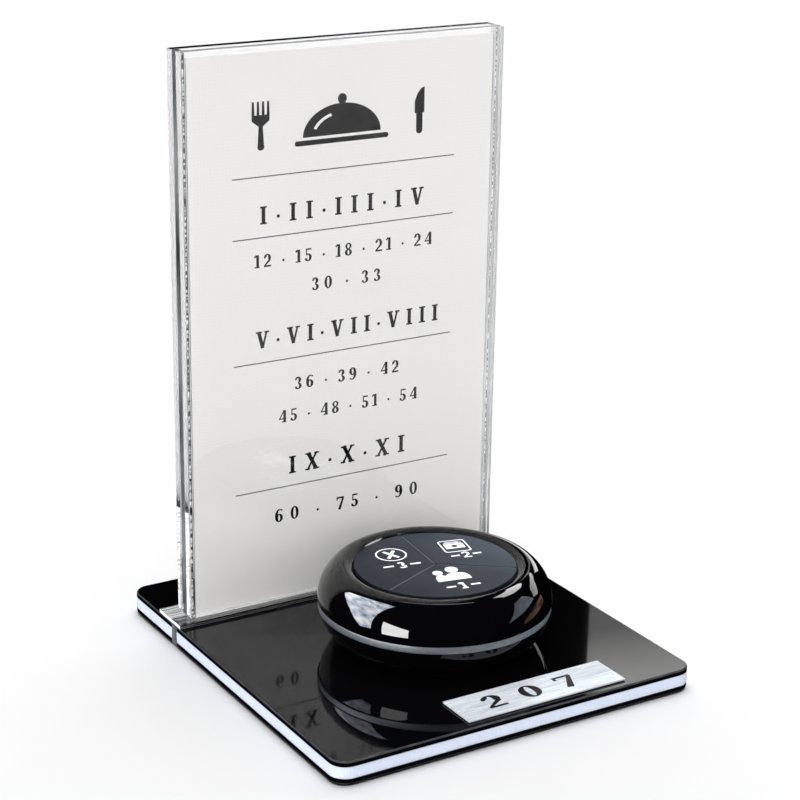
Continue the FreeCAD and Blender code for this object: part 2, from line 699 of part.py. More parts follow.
def makeSwitch(name, angle):
    x, y = around("Dim.stem_offset", angle)
    plunger = cylinder("plunger", "Dim.plunger_radius", "Dim.plunger_length")
    onPuck(asNode(plunger, "plunger_" + name), x, y, f"({plungerTop} - Dim.plunger_length)")

    case = box("switch_case", "Dim.switch_side", "Dim.switch_side", "Dim.switch_height")
    moveTo(case, "-Dim.switch_side / 2", "-Dim.switch_side / 2")
    depth = "(Dim.plunger_length - Dim.plunger_rise + Dim.plunger_room)"
    well = cylinder("switch_well", "Dim.plunger_radius + Dim.plunger_clearance", depth)
    moveTo(well, z=f"Dim.switch_height - {depth}")
    switch = cut("switch", case, well)
    onPuck(asNode(switch, "switch_" + name), x, y, boardTop, f"{angle}")


# ---- circuit board and what it carries ----


def makeBoard():
    disc = cylinder("board_disc", "Dim.board_radius", "Dim.board_thickness")
    holes = []
    for circle, angles, radius in (
        ("Dim.boss_circle", bossAngles, "Dim.boss_radius + Dim.board_hole_clearance"),
        ("Dim.post_circle", postAngles, "Dim.board_screw_radius + Dim.bite_clearance"),
    ):
        for angle in angles:
            hole = cylinder("board_hole", radius, "Dim.board_thickness")
            holes.append(moveTo(hole, *around(circle, angle)))
    board = cut("board", disc, fuse("board_holes", holes))
    onPuck(asNode(board, "circuit_board"), height="Dim.board_bottom")


def makeLamps():
    x, y = around("Dim.post_circle", statusLampAngle)
    lamp = box("status_lamp", "Dim.led_length", "Dim.led_width", "Dim.led_height")
    onPuck(asNode(lamp, "status_led"), f"{x} - Dim.led_length / 2", f"{y} - Dim.led_width / 2", boardTop)

    # The pipe ends flush with the slope round the keys.
    gradient = f"({slopeHeight} - Dim.well_bevel_height) / ({slopeRadius} - {wellRadius})"
    top = f"(Dim.well_bevel_height + (Dim.post_circle - {wellRadius}) * {gradient})"
    bottom = f"({boardTop} + Dim.led_height + Dim.pipe_led_gap)"
    pipe = cylinder("light_pipe", "Dim.pipe_radius", f"{top} - {bottom}")
    onPuck(asNode(pipe, "status_light_pipe"), x, y, bottom)

    lamps = []
    for angle in ringLampAngles:
        small = box("ring_lamp", "Dim.led_length", "Dim.led_length", "Dim.led_height")
        x, y = around(boardEdgeCircle, angle)
        lamps.append(moveTo(small, x, y, "-Dim.led_height", f"{angle}"))
    onPuck(asNode(compound("lamps", lamps), "ring_leds"), height="Dim.board_bottom")


def makeChips():
    """Row of blocks soldered under the board, its middle one on the puck's Y axis."""
    for place, label in enumerate(("controller_chip", "radio_chip", "crystal_can"), start=-1):
        block = box(label, "Dim.chip_length", "Dim.chip_width", "Dim.chip_height")
        onPuck(
            asNode(block, label),
            f"{place} * Dim.chip_pitch - Dim.chip_length / 2", "Dim.chip_row_y",
            "(Dim.board_bottom - Dim.chip_height)",
        )


def makeAntenna():
    """Wire that runs round the board's edge on two legs."""
    wire = doc.addObject("Part::Torus", "antenna_arc")
    bind(wire, Radius1=boardEdgeCircle, Radius2="Dim.antenna_wire_radius", Angle3="Dim.antenna_sweep_angle")
    moveTo(wire, z="Dim.antenna_height", angle="Dim.antenna_start_angle")
    pieces = [wire]
    for angle in ("Dim.antenna_start_angle", "(Dim.antenna_start_angle + Dim.antenna_sweep_angle)"):
        x, y = around(boardEdgeCircle, angle)
        leg = cylinder("antenna_leg", "Dim.antenna_wire_radius", f"Dim.antenna_height - {boardTop}")
        bend = bind(doc.addObject("Part::Sphere", "antenna_bend"), Radius="Dim.antenna_wire_radius")
        pieces += [moveTo(leg, x, y, boardTop), moveTo(bend, x, y, "Dim.antenna_height")]
    onPuck(asNode(fuse("antenna", pieces), "antenna_wire"))


def lyingCylinder(name, radius, length, x, height):
    """Cylinder along the puck's own X axis."""
    rod = cylinder(name, radius, length)
    rod.Placement.Rotation = FreeCAD.Rotation(Vector(0, 1, 0), 90)
    rod.setExpression("Placement.Base.x", x)
    rod.setExpression("Placement.Base.z", height)
    return rod


def makeBattery():
    bayEnd = f"({bayLength} / 2)"
    cellRight = f"({bayEnd} - Dim.contact_thickness - Dim.cell_nub_length)"
    cellLeft = f"({cellRight} - Dim.cell_length)"
    can = lyingCylinder("cell_can", "Dim.cell_radius", "Dim.cell_length", cellLeft, cellAxis)
    nub = lyingCylinder("cell_nub", "Dim.cell_nub_radius", "Dim.cell_nub_length", cellRight, cellAxis)
    onPuck(asNode(fuse("cell", [can, nub]), "battery_cell"))

    plate = box("plus_plate", "Dim.contact_thickness", "Dim.contact_side", "Dim.contact_side")
    onPuck(
        asNode(plate, "battery_plus_contact"),
        f"{bayEnd} - Dim.contact_thickness", "-Dim.contact_side / 2",
        f"({cellAxis} - Dim.contact_side / 2)",
    )

    back = box("minus_plate", "Dim.contact_thickness", "Dim.contact_side", "Dim.contact_side")
    moveTo(back, f"-{bayEnd}", "-Dim.contact_side / 2", f"{cellAxis} - Dim.contact_side / 2")
    coil = doc.addObject("Part::Cone", "minus_coil")
    bind(coil, Radius1="Dim.contact_side / 2", Radius2="Dim.cell_nub_radius", Height="Dim.spring_length")
    coil.Placement.Rotation = FreeCAD.Rotation(Vector(0, 1, 0), 90)
    coil.setExpression("Placement.Base.x", f"-{bayEnd} + Dim.contact_thickness")
    coil.setExpression("Placement.Base.z", cellAxis)
    onPuck(asNode(fuse("minus_contact", [back, coil]), "battery_minus_spring"))

    length = f"{bayLength} + 2 * Dim.door_margin"
    width = f"{bayWidth} + 2 * Dim.door_margin"
    door = box("door", length, width, "Dim.door_thickness")
    outside = "(Dim.pad_thickness + Dim.door_rise)"
    onPuck(asNode(door, "battery_door"), f"-({length}) / 2", f"-({width}) / 2", outside)


# ---- screws ----


# Cross recess: its length and width as shares of the head's radius, its depth of the height.
crossLength = 1.2
crossWidth = 0.25
crossDepth = 0.5


def crossHeadScrew(name, headRadius, headHeight, shankRadius, shankLength):
    """Screw that points up, its head's outer face at height 0 and a cross cut in the head."""
    head = cylinder(name + "_head", headRadius, headHeight)
    shank = moveTo(cylinder(name + "_shank", shankRadius, shankLength), z=headHeight)
    length = f"({headRadius} * {crossLength})"
    width = f"({headRadius} * {crossWidth})"
    along = box(name + "_slot", length, width, f"{headHeight} * {crossDepth}")
    moveTo(along, f"-{length} / 2", f"-{width} / 2")
    across = box(name + "_slot", width, length, f"{headHeight} * {crossDepth}")
    moveTo(across, f"-{width} / 2", f"-{length} / 2")
    return cut(name, fuse(name + "_blank", [head, shank]), fuse(name + "_cross", [along, across]))


def makeScrews():
    caseScrews = []
    for angle in bossAngles:
        shank = f"Dim.case_screw_tip - {caseSeat}"
        screw = crossHeadScrew(
            "case_screw", "Dim.case_head_radius", "Dim.case_head_height", "Dim.case_screw_radius", shank
        )
        x, y = around("Dim.boss_circle", angle)
        caseScrews.append(moveTo(screw, x, y, f"{caseSeat} - Dim.case_head_height"))
    onPuck(asNode(compound("case_screw_set", caseScrews), "case_screws"))

    boardScrews = []
    for angle in postAngles:
        shank = "Dim.board_screw_tip - Dim.board_bottom"
        screw = crossHeadScrew(
            "board_screw", "Dim.board_head_radius", "Dim.board_head_height", "Dim.board_screw_radius", shank
        )
        x, y = around("Dim.post_circle", angle)
        boardScrews.append(moveTo(screw, x, y, "Dim.board_bottom - Dim.board_head_height"))
    onPuck(asNode(compound("board_screw_set", boardScrews), "board_screws"))


# ---- build, check and export ----

makeBase()
makeNumberPlate()
makeHolder()
makeMountingPad()
makeLowerShell()
makeUpperShell()
makeLightRing()
for keyName, keyAngle in keyAngles.items():
    makeKey(keyName, keyAngle)
    makeSwitch(keyName, keyAngle)
makeBoard()
makeLamps()
makeChips()
makeAntenna()
makeBattery()
makeScrews()
doc.recompute()

for item in doc.Objects:
    if "Invalid" in item.State or "Error" in item.State:
        raise RuntimeError(f"{item.Label} failed: {item.State}")

os.makedirs("parts", exist_ok=True)
for node in nodes:
    shape = node.Shape
    if shape.isNull() or not shape.isValid():
        raise RuntimeError(f"{node.Label} has no valid shape")
    shape.exportStep(f"parts/{node.Label}.step")
    corner = shape.BoundBox
    print(
        f"{node.Label:24s} solids {len(shape.Solids)}  volume {shape.Volume:9.1f}  "
        f"x {corner.XMin:6.1f}..{corner.XMax:6.1f}  y {corner.YMin:6.1f}..{corner.YMax:6.1f}  "
        f"z {corner.ZMin:6.2f}..{corner.ZMax:6.2f}"
    )
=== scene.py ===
import json
import math

import bpy
from mathutils import Matrix, Vector

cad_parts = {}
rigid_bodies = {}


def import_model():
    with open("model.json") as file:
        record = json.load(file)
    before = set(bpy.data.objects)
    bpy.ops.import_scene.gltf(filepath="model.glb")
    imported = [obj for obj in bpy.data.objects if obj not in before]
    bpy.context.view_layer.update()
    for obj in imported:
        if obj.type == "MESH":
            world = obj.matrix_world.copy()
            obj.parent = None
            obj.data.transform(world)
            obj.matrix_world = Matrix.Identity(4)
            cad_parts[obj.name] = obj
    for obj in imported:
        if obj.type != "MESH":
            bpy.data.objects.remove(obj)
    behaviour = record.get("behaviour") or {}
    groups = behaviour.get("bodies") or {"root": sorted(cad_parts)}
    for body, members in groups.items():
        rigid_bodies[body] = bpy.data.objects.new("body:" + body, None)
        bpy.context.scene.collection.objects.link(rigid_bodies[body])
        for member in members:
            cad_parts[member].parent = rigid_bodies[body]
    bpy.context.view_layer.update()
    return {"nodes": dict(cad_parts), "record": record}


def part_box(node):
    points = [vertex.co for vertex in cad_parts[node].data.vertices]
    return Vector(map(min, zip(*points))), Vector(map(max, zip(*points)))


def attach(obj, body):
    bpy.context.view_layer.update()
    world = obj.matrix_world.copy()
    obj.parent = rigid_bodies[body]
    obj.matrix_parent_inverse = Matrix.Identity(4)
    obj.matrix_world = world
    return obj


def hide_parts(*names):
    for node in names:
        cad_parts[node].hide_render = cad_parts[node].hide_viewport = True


# Looks of the waiter call unit: a layered acrylic base, a clear menu holder with a loose card,
# a metal number plate and a round call puck with three keys. All in metres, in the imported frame.

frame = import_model()
nodes = frame["nodes"]
mm = 0.001
scene = bpy.context.scene
print("frame loaded:", len(nodes), "nodes")


# ---- camera ----

camera = {
    "place": (-0.359576, -0.583587, 0.328128),
    "azimuth": -31.46,  # round the object, from straight in front
    "elevation": 18.87,
    "roll": 0.88,
    "lens": 94.67,
}


def makeCamera():
    turn = Matrix.Rotation(math.radians(camera["azimuth"]), 3, "Z")
    tilt = Matrix.Rotation(math.radians(90 - camera["elevation"]), 3, "X")
    roll = Matrix.Rotation(math.radians(camera["roll"]), 3, "Z")
    lens = bpy.data.cameras.new("camera")
    lens.lens = camera["lens"]
    lens.clip_start = 0.05
    lens.clip_end = 40
    view = bpy.data.objects.new("camera", lens)
    view.matrix_world = Matrix.Translation(camera["place"]) @ (turn @ tilt @ roll).to_4x4()
    scene.collection.objects.link(view)
    scene.camera = view


makeCamera()


# ---- material helpers ----


def hexColour(code):
    # sRGB hex to the linear colour that the shaders take
    channels = [int(code[place:place + 2], 16) / 255 for place in (0, 2, 4)]
    linear = [value / 12.92 if value <= 0.04045 else ((value + 0.055) / 1.055) ** 2.4 for value in channels]
    return (*linear, 1.0)


def addNode(material, kind, values=None, links=None, **settings):
    # one node with its settings, its socket values and what is linked into it
    node = material.node_tree.nodes.new(kind)
    for name, value in settings.items():
        setattr(node, name, value)
    for socket, value in (values or {}).items():
        node.inputs[socket].default_value = value
    for socket, source in (links or {}).items():
        material.node_tree.links.new(source, node.inputs[socket])
    return node


def newMaterial(name, colour, roughness, **values):
    # a material with a Principled shader; returns it, the shader and the object coordinates
    material = bpy.data.materials.new(name)
    material.use_nodes = True
    material.node_tree.nodes.clear()
    values = {"Base Color": hexColour(colour), "Roughness": roughness, **values}
    surface = addNode(material, "ShaderNodeBsdfPrincipled", values)
    addNode(material, "ShaderNodeOutputMaterial", links={"Surface": surface.outputs["BSDF"]})
    coordinates = addNode(material, "ShaderNodeTexCoord").outputs["Object"]
    return material, surface, coordinates


def link(material, source, node, socket):
    material.node_tree.links.new(source, node.inputs[socket])


def noiseOf(material, coordinates, grain, stretch=(1, 1, 1), detail=3.0):
    # noise whose blotches are grain metres across, stretched along the axes
    scaled = addNode(
        material, "ShaderNodeMapping", {"Scale": [1 / (grain * factor) for factor in stretch]},
        {"Vector": coordinates},
    )
    noise = addNode(
        material, "ShaderNodeTexNoise", {"Scale": 1.0, "Detail": detail}, {"Vector": scaled.outputs[0]},
    )
    return noise.outputs["Fac"]


def ranged(material, source, low, high, fromLow=0.3, fromHigh=0.7, **settings):
    # maps a pattern to low..high
    values = {"From Min": fromLow, "From Max": fromHigh, "To Min": low, "To Max": high}
    return addNode(material, "ShaderNodeMapRange", values, {"Value": source}, **settings).outputs[0]


def combined(material, operation, first, second):
    # two patterns put together by a math operation
    node = addNode(material, "ShaderNodeMath", links={0: first, 1: second}, operation=operation)
    return node.outputs[0]


def tinted(material, source, stops):
    # colours along a pattern, as (place, hex) stops
    ramp = addNode(material, "ShaderNodeValToRGB", links={"Fac": source})
    elements = ramp.color_ramp.elements
    for number, (place, code) in enumerate(stops):
        stop = elements[number] if number < 2 else elements.new(place)
        stop.position = place
        stop.color = hexColour(code)
    return ramp.outputs["Color"]


def mottled(material, surface, source, dark, light, darkAt=0.3, lightAt=0.7):
    # base colour that goes from dark to light along a pattern
    stops = [(darkAt, dark), (lightAt, light)]
    link(material, tinted(material, source, stops), surface, "Base Color")


def roughened(material, surface, source, low, high, fromLow=0.3, fromHigh=0.7):
    # roughness that goes from low to high along a pattern
    link(material, ranged(material, source, low, high, fromLow, fromHigh), surface, "Roughness")


def bumped(material, surface, source, height):
    # relief of so many metres
    bump = addNode(material, "ShaderNodeBump", {"Strength": 1.0, "Distance": height}, {"Height": source})
    link(material, bump.outputs["Normal"], surface, "Normal")


# ---- materials ----


def castAcrylicBlack():
    # black cast PMMA sheet, laser cut and flame polished: a deep mirror gloss with a little dust
    material, surface, place = newMaterial("cast acrylic, black polished", "040405", 0.03, IOR=1.33)
    dust = noiseOf(material, place, 0.35 * mm, detail=2.0)
    roughened(material, surface, dust, 0.02, 0.06, 0.45, 0.8)
    flow = noiseOf(material, place, 30 * mm, detail=1.0)  # slow waves of the cast surface
    bumped(material, surface, flow, 0.004 * mm)
    return material


def highlightEdgeAcrylic():
    # eased edge of the black sheet: a dull dark grey that is partly scuffs and partly a painted highlight
    # along the edge, with brighter nicks
    material, surface, place = newMaterial("cast acrylic, black edge with painted highlight", "2f3133", 0.35, IOR=1.49)
    scuffs = noiseOf(material, place, 0.6 * mm, (6, 6, 1))
    mottled(material, surface, scuffs, "242628", "3c3f42")
    bumped(material, surface, scuffs, 0.01 * mm)
    return material


def castAcrylicOpal():
    # opal white cast PMMA, laser cut: light soaks through it and the cut edge is satin with fine streaks;
    # the faint pale-blue emission is a painted glow
    material, surface, place = newMaterial(
        "cast acrylic, opal white", "bbc3d3", 0.32,
        **{"IOR": 1.49, "Subsurface Weight": 0.6, "Subsurface Radius": (0.9, 1.0, 1.2),
           "Subsurface Scale": 2.5 * mm, "Emission Color": hexColour("cfdcff"), "Emission Strength": 0.02},
    )
    streaks = noiseOf(material, place, 0.25 * mm, (1, 1, 24))
    mottled(material, surface, streaks, "b5bdce", "c3cbda")
    bumped(material, surface, streaks, 0.01 * mm)
    return material


def castAcrylicClear(name, low, high):
    # clear cast PMMA, polished or satin: see-through, with bright and dark lines where edges bend the light
    material, surface, place = newMaterial(name, "ffffff", low, **{"IOR": 1.49, "Transmission Weight": 1.0})
    wiped = noiseOf(material, place, 1.2 * mm, (1, 1, 6), detail=2.0)  # faint wiping marks
    roughened(material, surface, wiped, low, high, 0.5, 0.8)
    return material


def sawnAcrylic():
    # sawn, unpolished end of a clear strip: it scatters light and looks white
    material, surface, place = newMaterial(
        "cast acrylic, sawn end", "f2f4f5", 0.45, **{"IOR": 1.49, "Transmission Weight": 0.3},
    )
    marks = noiseOf(material, place, 0.15 * mm, (1, 6, 1))
    mottled(material, surface, marks, "e6e9ec", "fbfcfc")
    bumped(material, surface, marks, 0.01 * mm)
    return material


def planedAcrylic(streaks):
    # planed side of a clear sheet: half clear, half hazy, streaked along the cut
    material, surface, place = newMaterial(
        "cast acrylic, planed edge", "f6f8f9", 0.15, **{"IOR": 1.49, "Transmission Weight": 0.5},
    )
    marks = noiseOf(material, place, 0.5 * mm, streaks, detail=2.0)
    link(material, ranged(material, marks, 0.25, 0.95), surface, "Transmission Weight")
    bumped(material, surface, marks, 0.01 * mm)
    return material


def paintedShadeStrip():
    # clear strip painted a smoke grey: painted shade and dark reflections seen in its side
    material, surface, place = newMaterial(
        "cast acrylic, strip with painted shade", "8f9396", 0.06, **{"IOR": 1.49, "Transmission Weight": 0.35},
    )
    cloud = noiseOf(material, place, 6 * mm, (1, 1, 5), detail=3.0)
    # painted shade: dark to mid grey, in tall clouds
    mottled(material, surface, cloud, "24272a", "8f9396", lightAt=0.75)
    return material


def solventSeam():
    # solvent-cement seam with trapped bubbles: short black and white squiggles along the joint, whose colour
    # also glows through emission, a painted glint
    material, surface, place = newMaterial("solvent cement seam", "d8d8d8", 0.25, IOR=1.45)
    cells = noiseOf(material, place, 0.9 * mm, (1, 1, 1.9), detail=1.5)
    bubblesAndGlow = tinted(material, cells, [(0.40, "f4f4f4"), (0.44, "101010"), (0.56, "1c1c1e"), (0.60, "f0f0f2")])
    link(material, bubblesAndGlow, surface, "Base Color")
    # painted glint: the squiggles' colour glows
    link(material, bubblesAndGlow, surface, "Emission Color")
    surface.inputs["Emission Strength"].default_value = 0.3
    return material


def uncoatedCard():
    # uncoated printing card: off-white, with a faint laid weave and fibres
    material, surface, place = newMaterial("uncoated card", "f6f5f3", 0.75, **{"Specular IOR Level": 0.1})
    threads = []
    for direction in "XZ":
        wave = addNode(
            material, "ShaderNodeTexWave", {"Scale": 260.0, "Distortion": 1.2, "Detail": 1.0},
            {"Vector": place}, bands_direction=direction,
        )
        threads.append(wave.outputs["Fac"])
    weave = combined(material, "ADD", *threads)
    fibres = noiseOf(material, place, 0.8 * mm)
    mixed = combined(material, "MULTIPLY", weave, fibres)
    mottled(material, surface, mixed, "f4f3f1", "f9f8f6", 0.2, 0.8)
    bumped(material, surface, mixed, 0.006 * mm)
    return material


def printInk(name, dark, light, roughness):
    # offset ink on card or silk-screen ink on plastic: flat colour with a slightly uneven film
    material, surface, place = newMaterial(name, dark, roughness, **{"Specular IOR Level": 0.1})
    film = noiseOf(material, place, 0.4 * mm)
    mottled(material, surface, film, dark, light)
    bumped(material, surface, film, 0.003 * mm)
    return material


def brushedAluminium():
    # sheet belt brushed along its length: long streaks, a stretched shine, an oxide film that scatters light
    material, surface, place = newMaterial(
        "aluminium, brushed", "e6ebf0", 0.3, **{"Metallic": 0.45, "Anisotropic": 0.6},
    )
    fine = noiseOf(material, place, 0.12 * mm, (60, 1, 1), detail=4.0)
    wide = noiseOf(material, place, 1.6 * mm, (9, 1, 1), detail=3.0)
    mottled(material, surface, wide, "cbd6e0", "f0f4f7")
    roughened(material, surface, fine, 0.22, 0.42)
    bumped(material, surface, fine, 0.004 * mm)
    return material


def pianoBlackAbs():
    # ABS moulded in a polished tool and lacquered: piano black with a clear, deep mirror
    material, surface, place = newMaterial("ABS, piano black", "030304", 0.03, IOR=1.37)
    specks = noiseOf(material, place, 0.5 * mm, detail=2.0)
    roughened(material, surface, specks, 0.015, 0.05, 0.5, 0.8)
    sink = noiseOf(material, place, 14 * mm, detail=1.0)  # slow waves of the moulding
    bumped(material, surface, sink, 0.01 * mm)
    return material


def frostedRing():
    # frosted polycarbonate light guide: grey while the lamps are off, satin
    material, surface, place = newMaterial(
        "polycarbonate, frosted light guide", "656d72", 0.38,
        **{"IOR": 1.58, "Subsurface Weight": 0.3, "Subsurface Scale": 1 * mm},
    )
    haze = noiseOf(material, place, 1.5 * mm)
    mottled(material, surface, haze, "5c6469", "6d757a")
    bumped(material, surface, noiseOf(material, place, 0.15 * mm), 0.003 * mm)
    return material


def satinKeyFilm():
    # hard-coated polycarbonate key caps with a fine satin grain
    material, surface, place = newMaterial(
        "polycarbonate, satin slate", "1b1f24", 0.4, **{"Specular IOR Level": 0.04},
    )
    grain = noiseOf(material, place, 0.12 * mm, detail=2.0)
    shade = noiseOf(material, place, 9 * mm, detail=2.0)
    mottled(material, surface, shade, "1a1e23", "1f2328")
    roughened(material, surface, grain, 0.34, 0.46)
    bumped(material, surface, grain, 0.002 * mm)
    return material


def mouldedPlastic(name, dark, light, roughness):
    # plain moulded resin with a fine tool texture
    material, surface, place = newMaterial(name, dark, roughness, IOR=1.5)
    texture = noiseOf(material, place, 0.3 * mm)
    mottled(material, surface, texture, dark, light)
    bumped(material, surface, texture, 0.01 * mm)
    return material


def platedMetal(name, dark, light, roughness):
    # rolled or drawn metal with fine draw marks
    material, surface, place = newMaterial(name, dark, roughness, Metallic=1.0)
    marks = noiseOf(material, place, 0.2 * mm, (1, 1, 8))
    mottled(material, surface, marks, dark, light)
    roughened(material, surface, marks, roughness * 0.8, roughness * 1.3)
    return material


finishes = {
    "black_acrylic": castAcrylicBlack(),
    "white_acrylic": castAcrylicOpal(),
    "clear_acrylic": castAcrylicClear("cast acrylic, clear polished", 0.0, 0.02),
    "card": uncoatedCard(),
    "foot_rubber": mouldedPlastic("silicone rubber, black matt", "0d0d0e", "18181a", 0.7),
    "foam_tape": mouldedPlastic("polyethylene foam tape, black", "101011", "1d1d1f", 0.85),
    "brushed_aluminium": brushedAluminium(),
    "black_gloss_plastic": pianoBlackAbs(),
    "ring_diffuser": frostedRing(),
    "key_plastic": satinKeyFilm(),
    "plunger_plastic": mouldedPlastic("nylon, natural", "c4bfb2", "d3cec2", 0.45),
    "switch_plastic": mouldedPlastic("glass-filled nylon, black", "0c0c0d", "171718", 0.6),
    "board_laminate": mouldedPlastic("glass-epoxy laminate, solder mask", "0c4f2a", "136536", 0.35),
    "lamp_plastic": mouldedPlastic("epoxy lamp resin, pale", "e4e0c4", "f2eeda", 0.2),
    "steel": platedMetal("steel, nickel plated", "b9bbc0", "d3d5da", 0.25),
    "copper_wire": platedMetal("copper, drawn wire", "a8623a", "c77f52", 0.3),
    "cell_jacket": mouldedPlastic("PVC sleeve, dark blue", "131c4a", "1d2862", 0.35),
}
satinFinish = castAcrylicClear("cast acrylic, clear satin end", 0.3, 0.5)
# grey with painted shade, for the left strip and the foot's lower ends
paintedShadeFinish = paintedShadeStrip()
sawnFinish = sawnAcrylic()
# lighter dark grey for the base's eased edges: scuffs plus a painted highlight
highlightEdgeFinish = highlightEdgeAcrylic()
planedFinish = planedAcrylic((60, 1, 1))
planedUpright = planedAcrylic((1, 1, 90))
seamFinish = solventSeam()
cardInk = printInk("offset ink, black", "060607", "0e0e0f", 0.6)
plateInk = printInk("enamel fill, black", "0b0b0c", "19191a", 0.35)
ribFinish = mouldedPlastic("silicone key mat, grey", "484d54", "50555c", 0.6)
keyInk = printInk("silk-screen ink, white", "e9ebee", "f7f8fa", 0.45)

for subpart in frame["record"]["subparts"]:
    mesh = nodes[subpart["node"]].data
    mesh.materials.clear()
    mesh.materials.append(finishes[subpart["material_slot"]])
print("materials made:", len(bpy.data.materials))


# ---- modelling helpers ----


def startFresh():
    # nothing selected, nothing in edit mode
    if bpy.context.object and bpy.context.object.mode != "OBJECT":
        bpy.ops.object.mode_set(mode="OBJECT")
    bpy.ops.object.select_all(action="DESELECT")


def pick(piece):
    # the piece alone selected and active
    startFresh()
    piece.select_set(True)
    bpy.context.view_layer.objects.active = piece


def settle(piece):
    # puts the piece's place into its mesh
    pick(piece)
    bpy.ops.object.transform_apply(location=True, rotation=True, scale=True)


def dressed(piece, name, body, slot, replaced=(), material=None):
    # names a finished piece, gives it its slot's finish or another one, and lets it ride
    piece.name = name
    piece.data.name = name
    piece.data.materials.clear()
    piece.data.materials.append(material or finishes[slot])
    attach(piece, body)
    if replaced:
        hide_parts(*replaced)


def applied(piece, kind, **settings):
    # adds a modifier with its settings and applies it
    modifier = piece.modifiers.new(kind.lower(), kind)
    for name, value in settings.items():
        setattr(modifier, name, value)
    pick(piece)
    bpy.ops.object.modifier_apply(modifier=modifier.name)


def slabFrom(low, high, bevel):
    # a sheet or strip with polished, slightly rounded edges; flat shading keeps its faces true mirrors
    startFresh()
    low, high = Vector(low), Vector(high)
    bpy.ops.mesh.primitive_cube_add(size=1, location=(low + high) / 2, scale=high - low)
    piece = bpy.context.object
    settle(piece)
    applied(piece, "BEVEL", width=bevel, segments=3, limit_method="ANGLE")
    return piece


def refinish(piece, material, chosen):
    # another finish on the faces that chosen picks
    piece.data.materials.append(material)
    for face in piece.data.polygons:
        if chosen(face):
            face.material_index = len(piece.data.materials) - 1


def arcPoints(centre, radius, start, end, steps):
    # (radius, height) places along an arc, angles in degrees
    angles = [math.radians(start + (end - start) * step / steps) for step in range(steps + 1)]
    return [(centre[0] + radius * math.cos(angle), centre[1] + radius * math.sin(angle)) for angle in angles]


def turnedFrom(axis, profile):
    # a ring of points pulled out, ring by ring, along a section given as (radius, height) places;
    # open ends are closed with a flat disc
    startFresh()
    radius, height = profile[0]
    bpy.ops.mesh.primitive_circle_add(vertices=192, radius=radius, location=(axis.x, axis.y, height))
    bpy.ops.object.mode_set(mode="EDIT")
    bpy.ops.mesh.select_all(action="SELECT")
    for nextRadius, nextHeight in profile[1:]:
        bpy.ops.mesh.extrude_edges_move(TRANSFORM_OT_translate={"value": (0, 0, nextHeight - height)})
        bpy.ops.transform.resize(
            value=(nextRadius / radius, nextRadius / radius, 1),
            center_override=(axis.x, axis.y, nextHeight),
        )
        radius, height = nextRadius, nextHeight
    bpy.ops.mesh.select_all(action="SELECT")
    bpy.ops.mesh.remove_doubles(threshold=0.002 * mm)
    bpy.ops.mesh.fill_holes(sides=0)
    bpy.ops.mesh.select_all(action="SELECT")
    bpy.ops.mesh.normals_make_consistent(inside=False)
    bpy.ops.object.mode_set(mode="OBJECT")
    piece = bpy.context.object
    settle(piece)
    bpy.ops.object.shade_smooth_by_angle(angle=math.radians(30))
    return piece


# ---- base ----

baseEdge = 0.2 * mm  # how far the base's cut edges are eased


def easedSheet(node, name):
    # a black base sheet with its cut edges eased; the eased edges get a lighter grey, partly wear and partly
    # a painted highlight
    pick(nodes[node])
    bpy.ops.object.duplicate()
    piece = bpy.context.object
    bpy.ops.object.mode_set(mode="EDIT")
    bpy.ops.mesh.select_all(action="SELECT")
    bpy.ops.mesh.remove_doubles(threshold=0.001 * mm)
    bpy.ops.mesh.dissolve_limited(angle_limit=math.radians(1))
    bpy.ops.object.mode_set(mode="OBJECT")
    applied(piece, "BEVEL", width=baseEdge, segments=2, limit_method="ANGLE", angle_limit=math.radians(40))
    dressed(piece, name, "stand", "black_acrylic", [node])
    refinish(piece, highlightEdgeFinish, lambda face: 0.2 < abs(face.normal.z) < 0.98)


easedSheet("base_top_plate", "top_sheet")
easedSheet("base_bottom_plate", "bottom_sheet")
print("base made")


# ---- clear holder ----

holder = {
    "hairline": 0.03 * mm,  # air left at each joint, so that it shows as a fine line
    "sheetBevel": 0.35 * mm,
    "footBevel": 0.2 * mm,
    "seamThickness": 0.02 * mm,
    "seamAir": 0.006 * mm,  # between the front sheet and a seam
    "seamFoot": 1 * mm,  # how far a seam stops short of a strip's ends
    "seamTop": 0.6 * mm,
    "tongueLift": 0.009 * mm,  # keeps the tongue's top out of the plane of another face
}


def holderSheet(node, name, joint):
    # one clear sheet, a hairline short where it stands on the foot and where the strips are bonded
    low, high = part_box(node)
    low.z += holder["hairline"]
    if joint > 0:
        high.y -= holder["hairline"]
    else:
        low.y += holder["hairline"]
    piece = slabFrom(low, high, holder["sheetBevel"])
    dressed(piece, name, "holder", "clear_acrylic", [node])
    refinish(piece, satinFinish, lambda face: face.normal.x > 0.8)
    if joint > 0:
        refinish(piece, planedFinish, lambda face: face.normal.z > 0.8)


def holderStrip(node, name, material):
    # bonding strip that keeps the card's space
    low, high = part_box(node)
    low += Vector((0, holder["hairline"], holder["hairline"]))
    high -= Vector((0, holder["hairline"], 0))
    piece = slabFrom(low, high, holder["footBevel"])
    dressed(piece, name, "holder", "clear_acrylic", [node], material)


def holderSeam(node, name, inset, width):
    # cement squeezed out between the front sheet and a strip, inset from the strip's left side
    low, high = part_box(node)
    front = low.y + holder["seamAir"]
    left = low.x + inset
    piece = slabFrom(
        (left, front, low.z + holder["seamFoot"]),
        (left + width, front + holder["seamThickness"], high.z - holder["seamTop"]),
        holder["seamThickness"] / 4,
    )
    dressed(piece, name, "holder", "clear_acrylic", material=seamFinish)


